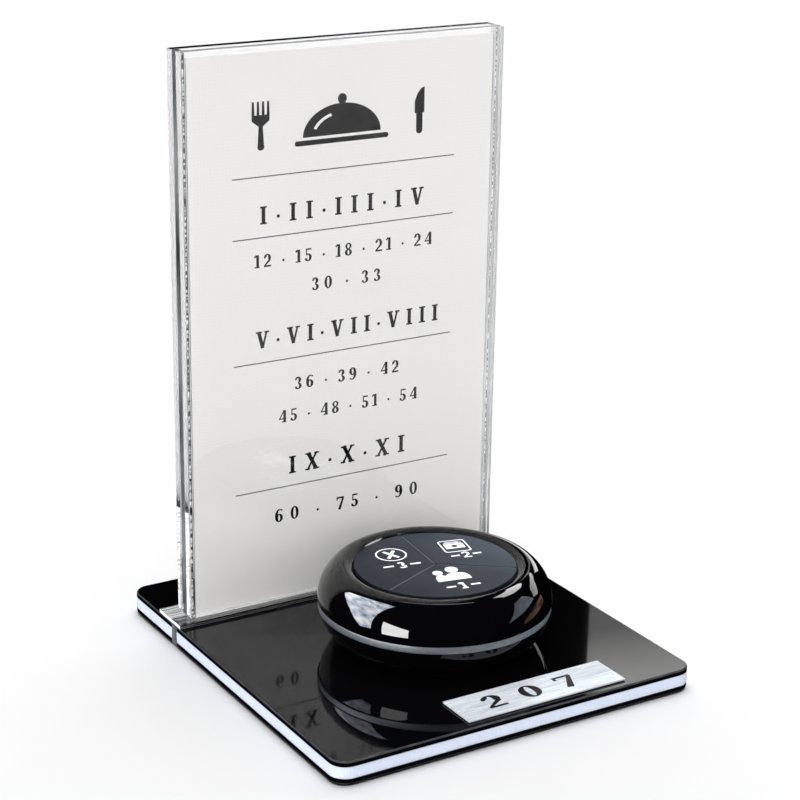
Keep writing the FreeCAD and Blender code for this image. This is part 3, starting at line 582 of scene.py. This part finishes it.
def holderFoot():
    # tongue, front ledge and rear flange, bonded into one
    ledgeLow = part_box("holder_front_ledge")[0]
    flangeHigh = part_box("holder_rear_flange")[1]
    plate = slabFrom(ledgeLow + Vector((0, 0, holder["hairline"])), flangeHigh, holder["footBevel"])
    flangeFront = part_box("holder_rear_flange")[0].y
    pick(plate)
    bpy.ops.object.mode_set(mode="EDIT")
    bpy.ops.mesh.select_all(action="SELECT")
    bpy.ops.mesh.bisect(plane_co=(0, flangeFront, 0), plane_no=(0, 1, 0))
    bpy.ops.object.mode_set(mode="OBJECT")
    low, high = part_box("holder_tongue")
    tongue = slabFrom(low, high + Vector((0, 0, holder["tongueLift"])), holder["footBevel"])
    applied(plate, "BOOLEAN", object=tongue, operation="UNION", solver="EXACT")
    bpy.data.objects.remove(tongue)
    dressed(
        plate, "holder_foot", "holder", "clear_acrylic",
        ["holder_tongue", "holder_front_ledge", "holder_rear_flange"],
    )
    refinish(plate, sawnFinish, lambda face: abs(face.normal.x) > 0.8 and face.center.z > ledgeLow.z)
    # the ends below the ledge get the grey with painted shade
    refinish(plate, paintedShadeFinish, lambda face: abs(face.normal.x) > 0.8 and face.center.z < ledgeLow.z)
    refinish(plate, planedFinish, lambda face: face.normal.z > 0.8 and face.center.y > flangeFront)


holderSheet("holder_front_sheet", "front_sheet", 1)
holderSheet("holder_back_sheet", "back_sheet", -1)
# the left strip gets the grey with painted shade
holderStrip("holder_left_spacer", "left_strip", paintedShadeFinish)
holderStrip("holder_right_spacer", "right_strip", planedUpright)
holderSeam("holder_left_spacer", "left_seam", 0.15 * mm, 1.8 * mm)
holderSeam("holder_right_spacer", "right_seam", 0.7 * mm, 0.2 * mm)
holderFoot()
print("holder made")


# ---- puck ----

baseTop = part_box("base_top_plate")[1].z
ringLow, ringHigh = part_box("light_ring")
puckAxis = (ringLow + ringHigh) / 2
ringRadius = (ringHigh.x - ringLow.x) / 2
puck = {
    "yaw": -6,  # degrees that the puck is turned on the base
    "wall": 2 * mm,
    "sideArc": 15 * mm,
    "sideTurn": 50,
    "crownArc": 5.5 * mm,
    "crownTurn": 100,
    "overhang": 0.2 * mm,
    "wellRadius": 28.7 * mm,
    "slopeFoot": 27.6 * mm,
    "wellFloor": 26.4 * mm,
    "wellFloorThickness": 1.2 * mm,
    "ringWidth": 2.8 * mm,
    "edge": 0.35 * mm,
    "skirtEdge": 0.1 * mm,
    "lipOut": 0.15 * mm,  # small chamfer where the slope meets the well
    "lipUp": 0.07 * mm,
    "lipDown": 0.08 * mm,
    "pole": 1 * mm,  # the section starts this far from the axis
    "bowlInset": 0.6 * mm,
    "bowlArc": 14 * mm,
    "bowlFoot": 30 * mm,
    "bowlBottom": 0.4 * mm,
}


def turnedPart(profile, name, slot, node):
    # a turned part of the puck, in place of a CAD node
    piece = turnedFrom(puckAxis, profile)
    dressed(piece, name, "stand", slot, [node])


def puckDome():
    # side arc, crown arc, slope to the keys, well and inner wall
    radius = ringRadius + puck["overhang"]
    skirt = ringHigh.z
    sideCentre = (radius - puck["sideArc"], skirt + puck["edge"])
    step = puck["sideArc"] - puck["crownArc"]
    turn = math.radians(puck["sideTurn"])
    crownCentre = (sideCentre[0] + step * math.cos(turn), sideCentre[1] + step * math.sin(turn))
    floorTop = baseTop + puck["wellFloor"]
    lip = baseTop + puck["slopeFoot"]
    inner = puck["sideArc"] - puck["wall"]
    underside = floorTop - puck["wellFloorThickness"]
    innerTurn = math.degrees(math.asin((underside - sideCentre[1]) / inner))
    profile = [
        (puck["pole"], underside),
        *arcPoints(sideCentre, inner, innerTurn, 0, 8),
        (radius - puck["wall"], skirt),
        (radius - puck["skirtEdge"], skirt),
        (radius, skirt + puck["skirtEdge"]),
        *arcPoints(sideCentre, puck["sideArc"], 0, puck["sideTurn"], 14),
        *arcPoints(crownCentre, puck["crownArc"], puck["sideTurn"], puck["crownTurn"], 12)[1:],
        (puck["wellRadius"] + puck["lipOut"], lip + puck["lipUp"]),
        (puck["wellRadius"], lip - puck["lipDown"]),
        (puck["wellRadius"], floorTop),
        (puck["pole"], floorTop),
    ]
    turnedPart(profile, "puck_dome", "black_gloss_plastic", "upper_shell")


def puckRing():
    # frosted ring with rounded outer edges
    edge = puck["edge"]
    inner = ringRadius - puck["ringWidth"]
    lower = (ringRadius - edge, ringLow.z + edge)
    upper = (ringRadius - edge, ringHigh.z - edge)
    profile = [
        (inner, ringLow.z),
        *arcPoints(lower, edge, -90, 0, 4),
        *arcPoints(upper, edge, 0, 90, 4),
        (inner, ringHigh.z),
        (inner, ringLow.z),
    ]
    turnedPart(profile, "puck_light_ring", "ring_diffuser", "light_ring")


def puckBowl():
    # rounded bowl between the table side and the ring
    foot = Vector((puck["bowlFoot"], baseTop + puck["bowlBottom"]))
    rim = Vector((ringRadius - puck["bowlInset"], ringLow.z))
    chord = rim - foot
    rise = math.sqrt(puck["bowlArc"] ** 2 - (chord.length / 2) ** 2)
    centre = (foot + rim) / 2 + Vector((-chord.y, chord.x)).normalized() * rise
    start = math.degrees(math.atan2(foot.y - centre.y, foot.x - centre.x))
    end = math.degrees(math.atan2(rim.y - centre.y, rim.x - centre.x))
    inner = puck["bowlArc"] - puck["wall"]
    floorTop = foot.y + puck["wall"]
    innerStart = math.degrees(math.asin((floorTop - centre.y) / inner))
    profile = [
        (puck["pole"], foot.y),
        *arcPoints(centre, puck["bowlArc"], start, end, 16),
        *arcPoints(centre, inner, end, innerStart, 10),
        (puck["pole"], floorTop),
    ]
    turnedPart(profile, "puck_bowl", "black_gloss_plastic", "lower_shell")


puckDome()
puckRing()
puckBowl()
print("puck made")


# ---- ink shapes ----

ink = {
    "thickness": 0.02 * mm,
    "serif": (0.225, 0.095),  # thick and thin strokes, as shares of the height
    "plain": (0.2, 0.16),
    "curveSteps": 26,
}


def oval(x, y, across, up, steps=32):
    turns = [2 * math.pi * step / steps for step in range(steps)]
    return [(x + across * math.cos(turn), y + up * math.sin(turn)) for turn in turns]


def boxed(left, low, right, high):
    return [(left, low), (right, low), (right, high), (left, high)]


def roundedBox(left, low, right, high, corner):
    centres = [(right - corner, high - corner), (left + corner, high - corner),
               (left + corner, low + corner), (right - corner, low + corner)]
    points = []
    for quarter, centre in enumerate(centres):
        points += arcPoints(centre, corner, quarter * 90, quarter * 90 + 90, 5)
    return points


def barBetween(start, end, startWidth, endWidth=None):
    # straight stroke whose width changes along it
    along = (Vector(end) - Vector(start)).normalized()
    side = Vector((-along.y, along.x))
    first = side * startWidth / 2
    last = side * (endWidth or startWidth) / 2
    return [tuple(Vector(start) - first), tuple(Vector(end) - last), tuple(Vector(end) + last),
            tuple(Vector(start) + first)]


def bowlStroke(x, y, across, up, start, end, stem, hairline):
    # curved stroke, thick at its sides and thin at its top and bottom; a full turn gives two outlines
    def ring(width, height):
        steps = ink["curveSteps"]
        turns = [math.radians(start + (end - start) * step / steps) for step in range(steps + 1)]
        return [(x + width * math.cos(turn), y + height * math.sin(turn)) for turn in turns]

    outer = ring(across, up)
    inner = ring(across - stem, up - hairline)
    if end - start == 360:
        return [outer[:-1], inner[:-1]]
    return [outer + inner[::-1]]


def glyphStrokes(sign, weight="serif"):
    # (width, strokes) of a sign one unit high; a stroke is a list of outlines
    stem, thin = ink[weight]
    slant = thin * 1.3
    rounded = weight == "serif"  # serif figures end in round drops

    def bowl(x, y, across, up, start=0, end=360, thick=stem):
        return bowlStroke(x, y, across, up, start, end, thick, thin)

    def drop(x, y):
        return [[oval(x, y, 0.075, 0.075, 14)]] if rounded else []

    strokes = {
        "I": (0.42, [[boxed(0.21 - stem / 2, 0, 0.21 + stem / 2, 1)], [boxed(0, 0, 0.42, thin)],
                     [boxed(0, 1 - thin, 0.42, 1)]]),
        "V": (0.86, [[barBetween((0.19, 1), (0.44, 0), stem)], [barBetween((0.70, 1), (0.44, 0), slant)],
                     [boxed(0, 1 - thin, 0.40, 1)], [boxed(0.56, 1 - thin, 0.86, 1)]]),
        "X": (0.88, [[barBetween((0.19, 1), (0.70, 0), stem)], [barBetween((0.72, 1), (0.15, 0), slant)],
                     [boxed(0.01, 1 - thin, 0.38, 1)], [boxed(0.57, 1 - thin, 0.87, 1)],
                     [boxed(0, 0, 0.30, thin)], [boxed(0.49, 0, 0.88, thin)]]),
        "0": (0.66, [bowl(0.33, 0.5, 0.33, 0.51)]),
        "1": (0.44, [[boxed(0.16, 0, 0.16 + stem, 1)], [boxed(0, 0, 0.44, thin)],
                     [barBetween((0.17, 0.97), (0, 0.82), thin * 1.4)]]),
        "2": (0.60, [bowl(0.29, 0.70, 0.30, 0.31, -35, 165),
                     [barBetween((0.51, 0.55), (0.02, 0.07), stem * 0.8, thin)],
                     [boxed(0, 0, 0.60, 0.13)], *drop(0.075, 0.74)]),
        "3": (0.58, [bowl(0.26, 0.75, 0.28, 0.26, -90, 150), bowl(0.26, 0.255, 0.32, 0.265, -150, 90),
                     *drop(0.08, 0.80), *drop(0.08, 0.18)]),
        "4": (0.64, [[boxed(0.38, 0, 0.38 + stem, 1)], [boxed(0, 0.25, 0.64, 0.25 + thin)],
                     [barBetween((0.46, 1), (0.03, 0.27), thin)], [boxed(0.24, 0, 0.64, thin)]]),
        "5": (0.58, [[boxed(0.08, 0.88, 0.54, 1)], [boxed(0.08, 0.48, 0.08 + thin, 1)],
                     bowl(0.26, 0.30, 0.32, 0.31, -150, 125), *drop(0.08, 0.20)]),
        "6": (0.64, [bowl(0.33, 0.31, 0.31, 0.32), bowl(0.38, 0.50, 0.38, 0.51, 75, 200),
                     *drop(0.53, 0.90)]),
        "7": (0.60, [[boxed(0, 0.87, 0.60, 1)], [barBetween((0.56, 0.94), (0.23, 0), thin * 1.4, stem)],
                     [boxed(0, 0.72, thin, 1)]]),
        "8": (0.62, [bowl(0.31, 0.75, 0.27, 0.26, thick=stem * 0.75), bowl(0.31, 0.26, 0.31, 0.27)]),
        "9": (0.64, [bowl(0.31, 0.69, 0.31, 0.32), bowl(0.26, 0.50, 0.38, 0.51, -105, 20),
                     *drop(0.11, 0.10)]),
        ".": (0.20, [[oval(0.10, 0.36, 0.10, 0.10, 14)]]),
        " ": (0.22, []),
    }
    return strokes[sign]


def inkFrom(strokes):
    # filled flat curves, made thin meshes and joined; crossing strokes differ a little in thickness, so
    # that no two faces lie in one plane
    made = []
    for number, outlines in enumerate(strokes):
        curve = bpy.data.curves.new("stroke", "CURVE")
        curve.dimensions = "2D"
        curve.fill_mode = "BOTH"
        curve.extrude = ink["thickness"] / 2 * (1 - 0.08 * (number % 4))
        for outline in outlines:
            spline = curve.splines.new("POLY")
            spline.points.add(len(outline) - 1)
            for point, (x, y) in zip(spline.points, outline):
                point.co = (x, y, 0, 1)
            spline.use_cyclic_u = True
        stroke = bpy.data.objects.new("stroke", curve)
        scene.collection.objects.link(stroke)
        made.append(stroke)
    startFresh()
    for stroke in made:
        stroke.select_set(True)
    bpy.context.view_layer.objects.active = made[0]
    bpy.ops.object.convert(target="MESH")
    if len(made) > 1:
        bpy.ops.object.join()
    return bpy.context.object


def sized(strokes, left, low, width, height):
    # strokes scaled, then moved
    return [[[(left + x * width, low + y * height) for x, y in outline] for outline in stroke]
            for stroke in strokes]


def lineStrokes(text, left, right, low, height, stretch=1.0):
    # a line of signs, spaced so that it fills left to right
    glyphs = [glyphStrokes(sign) for sign in text]
    used = sum(width for width, _ in glyphs) * height * stretch
    gap = (right - left - used) / (len(text) - 1)
    strokes = []
    for width, shapes in glyphs:
        strokes += sized(shapes, left, low, height * stretch, height)
        left += width * height * stretch + gap
    return strokes


# ---- card print ----

cardPrint = {  # in millimetres from the card's lower left corner
    "ruleLeft": 16.4,
    "ruleRight": 105.5,
    "ruleThickness": 0.35,
    "rules": (157.4, 136.0, 90.8, 42.6),
    "lines": (  # text, left, right, base line, height
        ("I.II.III.IV", 27, 93, 140.7, 6.3),
        ("V.VI.VII.VIII", 25, 100, 96.2, 6.1),
        ("IX.X.XI", 38, 86.5, 47.2, 6.6),
        ("12 . 15 . 18 . 21 . 24", 24.7, 96.7, 125.4, 4.6),
        ("30 . 33", 47.4, 75.3, 114.5, 4.6),
        ("36 . 39 . 42", 40.5, 83.5, 78.8, 4.6),
        ("45 . 48 . 51 . 54", 34, 91.5, 67.2, 4.6),
        ("60 . 75 . 90", 32.2, 92.4, 29.3, 5.0),
    ),
    "emblem": (21, 166.5),
}


def emblemStrokes():
    # a covered dish between a fork and a knife, on a plain 76.5 by 17 mm field, in millimetres
    middle = 38.25
    brim = 2.8
    angles = [math.radians(turn) for turn in range(0, 181, 6)]
    dome = [(middle + 15.5 * math.cos(angle), brim + 10.9 * math.sin(angle)) for angle in angles]
    shine = bowlStroke(middle, brim, 12.0, 8.2, 112, 160, stem=1.2, hairline=1.0)[0]
    strokes = [
        [dome, shine],
        [roundedBox(19.6, 0, 56.9, 1.8, 0.85)],
        [oval(middle, 15.2, 1.8, 1.8)],
        [barBetween((6.5, 0.9), (6.5, 8.6), 2.5, 1.6)],
        [oval(6.5, 1.25, 1.35, 1.25, 20)],
        [[(5.7, 8.2), (3.1, 10.2), (3.1, 12.2), (9.9, 12.2), (9.9, 10.2), (7.3, 8.2)]],
        [roundedBox(68.3, 0, 70.9, 8.2, 1.25)],
        [[(67.6, 7.4), (71.6, 7.4), (71.6, 16.6), (70.2, 16.2), (68.6, 14.2), (67.6, 11.6)]],
    ]
    for tine in range(4):
        across = 3.6 + tine * 1.93
        strokes.append([barBetween((across, 12), (across, 16.8), 1.1, 0.75)])
    return strokes


def printCard():
    strokes = sized(emblemStrokes(), *cardPrint["emblem"], 1, 1)
    half = cardPrint["ruleThickness"] / 2
    for height in cardPrint["rules"]:
        strokes.append([boxed(cardPrint["ruleLeft"], height - half, cardPrint["ruleRight"], height + half)])
    for line in cardPrint["lines"]:
        strokes += lineStrokes(*line)
    piece = inkFrom(sized(strokes, 0, 0, mm, mm))
    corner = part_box("menu_card")[0] - Vector((0, ink["thickness"] / 2, 0))
    piece.matrix_world = Matrix.Translation(corner) @ Matrix.Rotation(math.pi / 2, 4, "X")
    settle(piece)
    dressed(piece, "card_print", "card", "card", material=cardInk)


printCard()


# ---- number plate ----

plateNumber = {  # from the plate's middle
    "text": "207",
    "left": -20.4 * mm,
    "right": 16.3 * mm,
    "low": -4.1 * mm,
    "height": 8.3 * mm,
    "stretch": 1.45,
}


def engraveNumber():
    low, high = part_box("number_plate")
    piece = inkFrom(lineStrokes(**plateNumber))
    middle = (low + high) / 2
    piece.location = (middle.x, middle.y, high.z + ink["thickness"] / 2)
    settle(piece)
    dressed(piece, "plate_number", "stand", "brushed_aluminium", material=plateInk)


engraveNumber()


# ---- key marks ----

keyMarks = {
    "ribAngles": (90, 210, 330),
    "ribWidth": 0.3 * mm,
    "ribInner": 0.6 * mm,
    "ribOuter": 27.6 * mm,
    "ribHeight": 1.4 * mm,
    "ribSunk": 0.12 * mm,
    "slope": -5,  # degrees, in the puck's frame
    "line": 0.5,
    "digitHeight": 4.9,
}
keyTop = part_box("key_call")[1].z


def putOnPuck(piece, height, angle=0):
    # moves a piece made at the origin to the puck's axis and turns it with the puck
    turn = Matrix.Rotation(math.radians(angle + puck["yaw"]), 4, "Z")
    piece.matrix_world = Matrix.Translation((puckAxis.x, puckAxis.y, height)) @ turn
    settle(piece)


def markOnPuck(strokes, name, body):
    # puts a flat mark, drawn in millimetres in the puck's frame, on the keys
    piece = inkFrom(sized(strokes, 0, 0, mm, mm))
    putOnPuck(piece, keyTop + ink["thickness"] / 2)
    dressed(piece, name, body, "key_plastic", material=keyInk)


def turnedStrokes(strokes, x, y, angle):
    # strokes turned about the origin and moved
    cosine = math.cos(math.radians(angle))
    sine = math.sin(math.radians(angle))
    return [[[(x + u * cosine - v * sine, y + u * sine + v * cosine) for u, v in outline]
             for outline in stroke] for stroke in strokes]


def crossMark():
    # a cross in a ring
    arms = []
    for turn in (58, 122):
        direction = Vector((math.cos(math.radians(turn)), math.sin(math.radians(turn)))) * 3.6
        arms.append([barBetween(tuple(-direction), tuple(direction), 1.25)])
    ring = [oval(0, 0, 5.6, 5.6, 48), oval(0, 0, 5.05, 5.05, 48)]
    return turnedStrokes([ring, *arms], -10.8, 13.4, keyMarks["slope"])


def noteMark():
    # a bank note in a rounded box
    line = keyMarks["line"]
    frameBox = [
        roundedBox(-5, -5.2, 5, 5.2, 1.2),
        roundedBox(-5 + line, -5.2 + line, 5 - line, 5.2 - line, 0.8),
    ]
    note = [boxed(-3.6, -2.0, 3.6, 2.0), oval(0, 0, 1.15, 1.15, 24)]
    behind = [[boxed(-3.4, 2.5, 3.4, 2.95)], [boxed(-2.6, 3.35, 2.6, 3.7)]]  # edges of more notes
    return turnedStrokes([frameBox, note, *behind], 13.3, 11.7, keyMarks["slope"] - 2)


def guestsMark():
    # two guests side by side
    def bust(x, head, low, width, top):
        shoulders = [(x - width, low), (x + width, low)]
        for turn in range(12, 169, 12):
            angle = math.radians(turn)
            shoulders.append((x + width * math.cos(angle), low + top * math.sin(angle) ** 0.5))
        return [shoulders], [oval(x, head[0], head[1], head[1] * 1.05, 24)]

    big = bust(1.7, (8.6, 2.3), 0, 4.4, 5.9)
    small = bust(-3.9, (7.2, 1.8), 0, 2.3, 5.0)
    return turnedStrokes([*big, *small], 0.4, -15.2, keyMarks["slope"])


def numberMark(digit, x, y, width):
    # a plain number between two short dashes
    tall = keyMarks["digitHeight"]
    dash = boxed(0, tall * 0.40, width * 0.28, tall * 0.60)
    other = boxed(width * 0.72, tall * 0.40, width, tall * 0.60)
    glyphWidth, shapes = glyphStrokes(digit, "plain")
    strokes = sized(shapes, (width - glyphWidth * tall) / 2, 0, tall, tall)
    return turnedStrokes([[dash], [other], *strokes], x, y, keyMarks["slope"])


def keyRibs():
    # thin ribs of the key mat that show in the gaps between the keys
    for number, angle in enumerate(keyMarks["ribAngles"]):
        half = keyMarks["ribWidth"] / 2
        piece = slabFrom(
            (keyMarks["ribInner"], -half, keyTop - keyMarks["ribHeight"]),
            (keyMarks["ribOuter"], half, keyTop - keyMarks["ribSunk"]), half / 3,
        )
        putOnPuck(piece, 0, angle)
        dressed(piece, f"key_rib_{number + 1}", "stand", "key_plastic", material=ribFinish)


keyRibs()
markOnPuck(crossMark() + numberMark("3", -18.2, 1.7, 13.8), "cancel_mark", "cancel_key")
markOnPuck(noteMark() + numberMark("2", 7.9, 1.3, 11.4), "bill_mark", "bill_key")
markOnPuck(guestsMark() + numberMark("1", -5.6, -22.3, 12.4), "call_mark", "call_key")
print("marks made")


# ---- floor, world and lights ----

stage = {
    "floorRadius": 30.0,
    "floorColour": "f0f0f0",
    "wallDistance": 3.0,
    "cloudGrain": 0.75,
    "seenThroughClear": (1.0, 0.45),  # the studio seen through the clear sheets, low and high up
    "litThroughClear": (0.20, 0.42),  # and its light on what lies behind them
}


def makeFloor():
    startFresh()
    bpy.ops.mesh.primitive_circle_add(vertices=96, radius=stage["floorRadius"], fill_type="NGON")
    floor = bpy.context.object
    floor.name = "floor"
    material, surface, place = newMaterial(
        "painted board, pale matt", stage["floorColour"], 0.7, **{"Specular IOR Level": 0.0},
    )
    blotches = noiseOf(material, place, 120 * mm)
    mottled(material, surface, blotches, "efefef", "f1f1f1")
    floor.data.materials.append(material)
    floor.visible_glossy = False  # the gloss shows the dark studio, not the floor


def blended(world, factor, first, second):
    # first where the factor is 0, second where it is 1
    links = {"Factor": factor, "A": first, "B": second}
    return addNode(world, "ShaderNodeMix", links=links, data_type="FLOAT").outputs[0]


def makeWorld():
    # soft light from overhead, dark towards the horizon; the camera and rays through clear plastic see a
    # pale studio instead, and gloss sees nothing of it
    world = bpy.data.worlds.new("studio")
    scene.world = world
    world.use_nodes = True
    world.node_tree.nodes.clear()
    direction = addNode(world, "ShaderNodeTexCoord").outputs["Generated"]
    height = addNode(world, "ShaderNodeSeparateXYZ", links={"Vector": direction}).outputs["Z"]
    glow = ranged(world, height, 0.02, 3.0, 0.80, 0.97, interpolation_type="SMOOTHSTEP")
    seen = ranged(world, height, *stage["seenThroughClear"], 0.05, 0.30)
    lit = ranged(world, height, *stage["litThroughClear"], 0.0, 0.60)
    path = addNode(world, "ShaderNodeLightPath").outputs
    clear = blended(world, path["Diffuse Depth"], seen, lit)
    straight = combined(world, "MAXIMUM", path["Is Transmission Ray"], path["Is Camera Ray"])
    strength = blended(world, straight, glow, clear)
    sky = addNode(world, "ShaderNodeBackground", {"Color": hexColour("fdfdfe")}, {"Strength": strength})
    addNode(world, "ShaderNodeOutputWorld", links={"Surface": sky.outputs[0]})
    world.cycles_visibility.glossy = False


def paneGlow(colours, along, start, end, dim, bright):
    # cloudy light that goes from dim to bright along a direction, and lights no matt surface
    glow = bpy.data.materials.new("lit window pane")
    glow.use_nodes = True
    glow.node_tree.nodes.clear()
    coordinates = addNode(glow, "ShaderNodeTexCoord").outputs["Object"]
    cloud = noiseOf(glow, coordinates, stage["cloudGrain"], detail=4.0)
    reach = addNode(
        glow, "ShaderNodeVectorMath", {1: (*along, 0)}, {0: coordinates}, operation="DOT_PRODUCT",
    )
    strength = ranged(glow, reach.outputs["Value"], dim, bright, start, end)
    scattered = addNode(glow, "ShaderNodeLightPath").outputs["Diffuse Depth"]
    direct = addNode(glow, "ShaderNodeMath", {1: 0.5}, {0: scattered}, operation="LESS_THAN")
    seen = combined(glow, "MULTIPLY", strength, direct.outputs[0])
    emission = addNode(
        glow, "ShaderNodeEmission", links={"Color": tinted(glow, cloud, colours), "Strength": seen},
    )
    addNode(glow, "ShaderNodeOutputMaterial", links={"Surface": emission.outputs[0]})
    return glow


def litPane(name, corners, place, colours, dim, bright, along, lit):
    # a lit shape on a far wall, seen only in the gloss and clear plastic of what is in the lit collection;
    # its corners are in units of its distance, and its light goes from dim to bright along a direction
    distance = stage["wallDistance"]
    pane = inkFrom([[[(x * distance, y * distance) for x, y in corners]]])
    pane.name = name
    pane.matrix_world = place
    reach = [(x * along[0] + y * along[1]) * distance for x, y in corners]
    pane.data.materials.append(paneGlow(colours, along, min(reach), max(reach), dim, bright))
    pane.visible_camera = False
    pane.visible_diffuse = False
    pane.visible_shadow = False
    pane.light_linking.receiver_collection = lit


def wallPane(name, facing, corners, colours, dim, bright, along=(1, 0), lit=None):
    # on a wall that faces the puck from that azimuth (from +Y towards +X)
    turn = math.radians(facing)
    ahead = Vector((math.sin(turn), math.cos(turn), 0)) * stage["wallDistance"]
    place = Matrix.Translation(Vector((puckAxis.x, puckAxis.y, baseTop)) + ahead)
    facingIn = Matrix.Rotation(-turn, 4, "Z") @ Matrix.Rotation(math.pi / 2, 4, "X")
    litPane(name, corners, place @ facingIn, colours, dim, bright, along, lit)


def overheadPane(name, corners, colours, dim, bright):
    # on a ceiling; its y runs away from the camera
    place = Matrix.Translation(puckAxis + Vector((0, 0, stage["wallDistance"])))
    turn = Matrix.Rotation(math.radians(camera["azimuth"]), 4, "Z")
    litPane(name, corners, place @ turn, colours, dim, bright, (1, 0), None)


def linkedLight(name, kind, power, lit):
    # for what is in the lit collection, unseen in the gloss
    data = bpy.data.lights.new(name, kind)
    data.energy = power
    light = bpy.data.objects.new(name, data)
    scene.collection.objects.link(light)
    light.visible_glossy = False
    light.light_linking.receiver_collection = lit
    return light


def fillLight(name, azimuth, elevation, spread, strength, lit, casters=None):
    # even light from a wide patch of the sky; only the casters throw its shadows, or else everything
    light = linkedLight(name, "SUN", strength, lit)
    light.data.angle = math.radians(spread)
    turn = math.radians(azimuth)
    rise = math.radians(elevation)
    away = Vector((math.sin(turn) * math.cos(rise), math.cos(turn) * math.cos(rise), math.sin(rise)))
    light.rotation_euler = away.to_track_quat("Z", "Y").to_euler()
    light.light_linking.blocker_collection = casters


def nearLamp(name, place, power, radius, lit):
    # a small lamp close by
    light = linkedLight(name, "POINT", power, lit)
    light.data.shadow_soft_size = radius
    light.location = place


def groupOf(name, pieces, state="INCLUDE"):
    # a collection for light linking
    group = bpy.data.collections.new(name)
    for number, piece in enumerate(pieces):
        group.objects.link(piece)
        group.collection_objects[number].light_linking.link_state = state
    return group


makeFloor()
makeWorld()
made = bpy.data.objects
floor = made["floor"]
menuCard = nodes["menu_card"]
baseSheets = [made["bottom_sheet"], nodes["base_middle_plate"], made["top_sheet"]]
clearSheets = [made["front_sheet"], made["back_sheet"]]
keyCaps = [nodes["key_call"], nodes["key_bill"], nodes["key_cancel"]]
floorAlone = groupOf("floor", [floor])
frontLit = groupOf("all but floor and card", [floor, menuCard], "EXCLUDE")
flatGloss = [*baseSheets, nodes["number_plate"], *clearSheets]
offTheFlats = groupOf("all but base, plate and clear sheets", flatGloss, "EXCLUDE")
keysAlone = groupOf("keys", keyCaps)
cardAlone = groupOf("card", [menuCard])
opalAlone = groupOf("opal sheet", [nodes["base_middle_plate"]])
offTheSide = [floor, made["puck_light_ring"], *keyCaps]
sideLit = groupOf("all but floor, ring and keys", offTheSide, "EXCLUDE")
shadowMakers = groupOf("base sheets", baseSheets)
cloudySky = [(0.33, "5d83a6"), (0.43, "b4c0d0"), (0.54, "dfe5ee"), (0.62, "ffffff")]
paleSky = [(0.30, "8f99a8"), (0.60, "c4ccd8")]
white = [(0.30, "eeeeea"), (0.60, "ffffff")]
brickWall = [(0.40, "4a3426"), (0.55, "b08e78")]
for name, facing, colours, dim, bright, corners in (
    ("left_window_far", -60, cloudySky, 26, 30,
     [(-0.51, -0.06), (-0.27, -0.11), (0.05, 0.27), (0.49, 0.56), (0.49, 0.72), (-0.16, 1.62),
      (-0.42, 1.9)]),
    ("left_window_near", -110, white, 32, 32, [(-0.25, -0.13), (0.20, -0.14), (0.23, 0.39), (-0.25, 0.22)]),
    ("right_window_frame", 60, white, 9, 13,
     [(-0.42, 0.58), (0.16, 0.79), (0.42, 1.05), (0.55, 1.40), (0.10, 1.40), (-0.20, 0.88)]),
    ("right_window_side", 70, white, 6, 4,
     [(-0.49, 0.54), (0.0, 0.364), (0.29, 0.18), (0.44, 0.27), (0.29, 0.44), (-0.07, 0.533)]),
    ("right_window_low", 115, paleSky, 5, 4, [(-0.36, 0.25), (0.42, 0.09), (0.0, 0.62), (-0.29, 0.62)]),
    ("right_wall", 100, brickWall, 3, 2,
     [(-0.29, -0.10), (0.34, -0.22), (0.34, -0.10), (0.04, 0.09), (-0.29, 0.08)]),
):
    wallPane(name, facing, corners, colours, dim, bright, lit=offTheFlats)
wallPane(
    "right_doorway", 50, [(-0.209, 0.34), (-0.13, 0.34), (-0.13, 0.449), (-0.209, 0.4727)], white, 1.1, 1.1,
)
wallPane(
    "right_doorway_top", 50, [(-0.209, 0.4727), (-0.13, 0.449), (-0.13, 0.494), (-0.209, 0.5177)], white,
    1.1, 3.9, along=(0.3, 1),
)
wallPane("right_sill", 50, [(-0.24, 0.09), (0.18, 0.09), (0.18, 0.32), (-0.24, 0.32)], white, 3, 5)
overheadPane("overhead_panel", [(-0.30, 0.31), (0.28, 0.36), (0.28, 0.40), (-0.30, 0.34)], paleSky, 14, 34)
fillLight("front_fill", 180, 36, 100, 2.7, frontLit)
fillLight("card_fill", 180, 36, 100, 1.85, cardAlone, shadowMakers)
fillLight("left_fill", -105, 14, 90, 5.2, sideLit)
fillLight("card_back_fill", 20, 30, 120, 1.2, cardAlone, shadowMakers)
fillLight("opal_back_fill", 20, 30, 120, 3.5, opalAlone)
fillLight("floor_fill", 35, 33, 100, 2.85, floorAlone, shadowMakers)
nearLamp("key_lamp", puckAxis + Vector((75, 20, 45)) * mm, 1.6, 20 * mm, keysAlone)

scene.view_settings.view_transform = "Standard"
scene.view_settings.look = "None"
scene.cycles.use_denoising = True
scene.cycles.denoiser = "OPENIMAGEDENOISE"
scene.cycles.caustics_reflective = False
scene.cycles.max_bounces = 48  # light runs a long way inside the clear sheets
scene.cycles.transmission_bounces = 16
scene.cycles.glossy_bounces = 40
scene.cycles.diffuse_bounces = 4
scene.cycles.transparent_max_bounces = 16
scene.cycles.sample_clamp_indirect = 12
print("stage made")
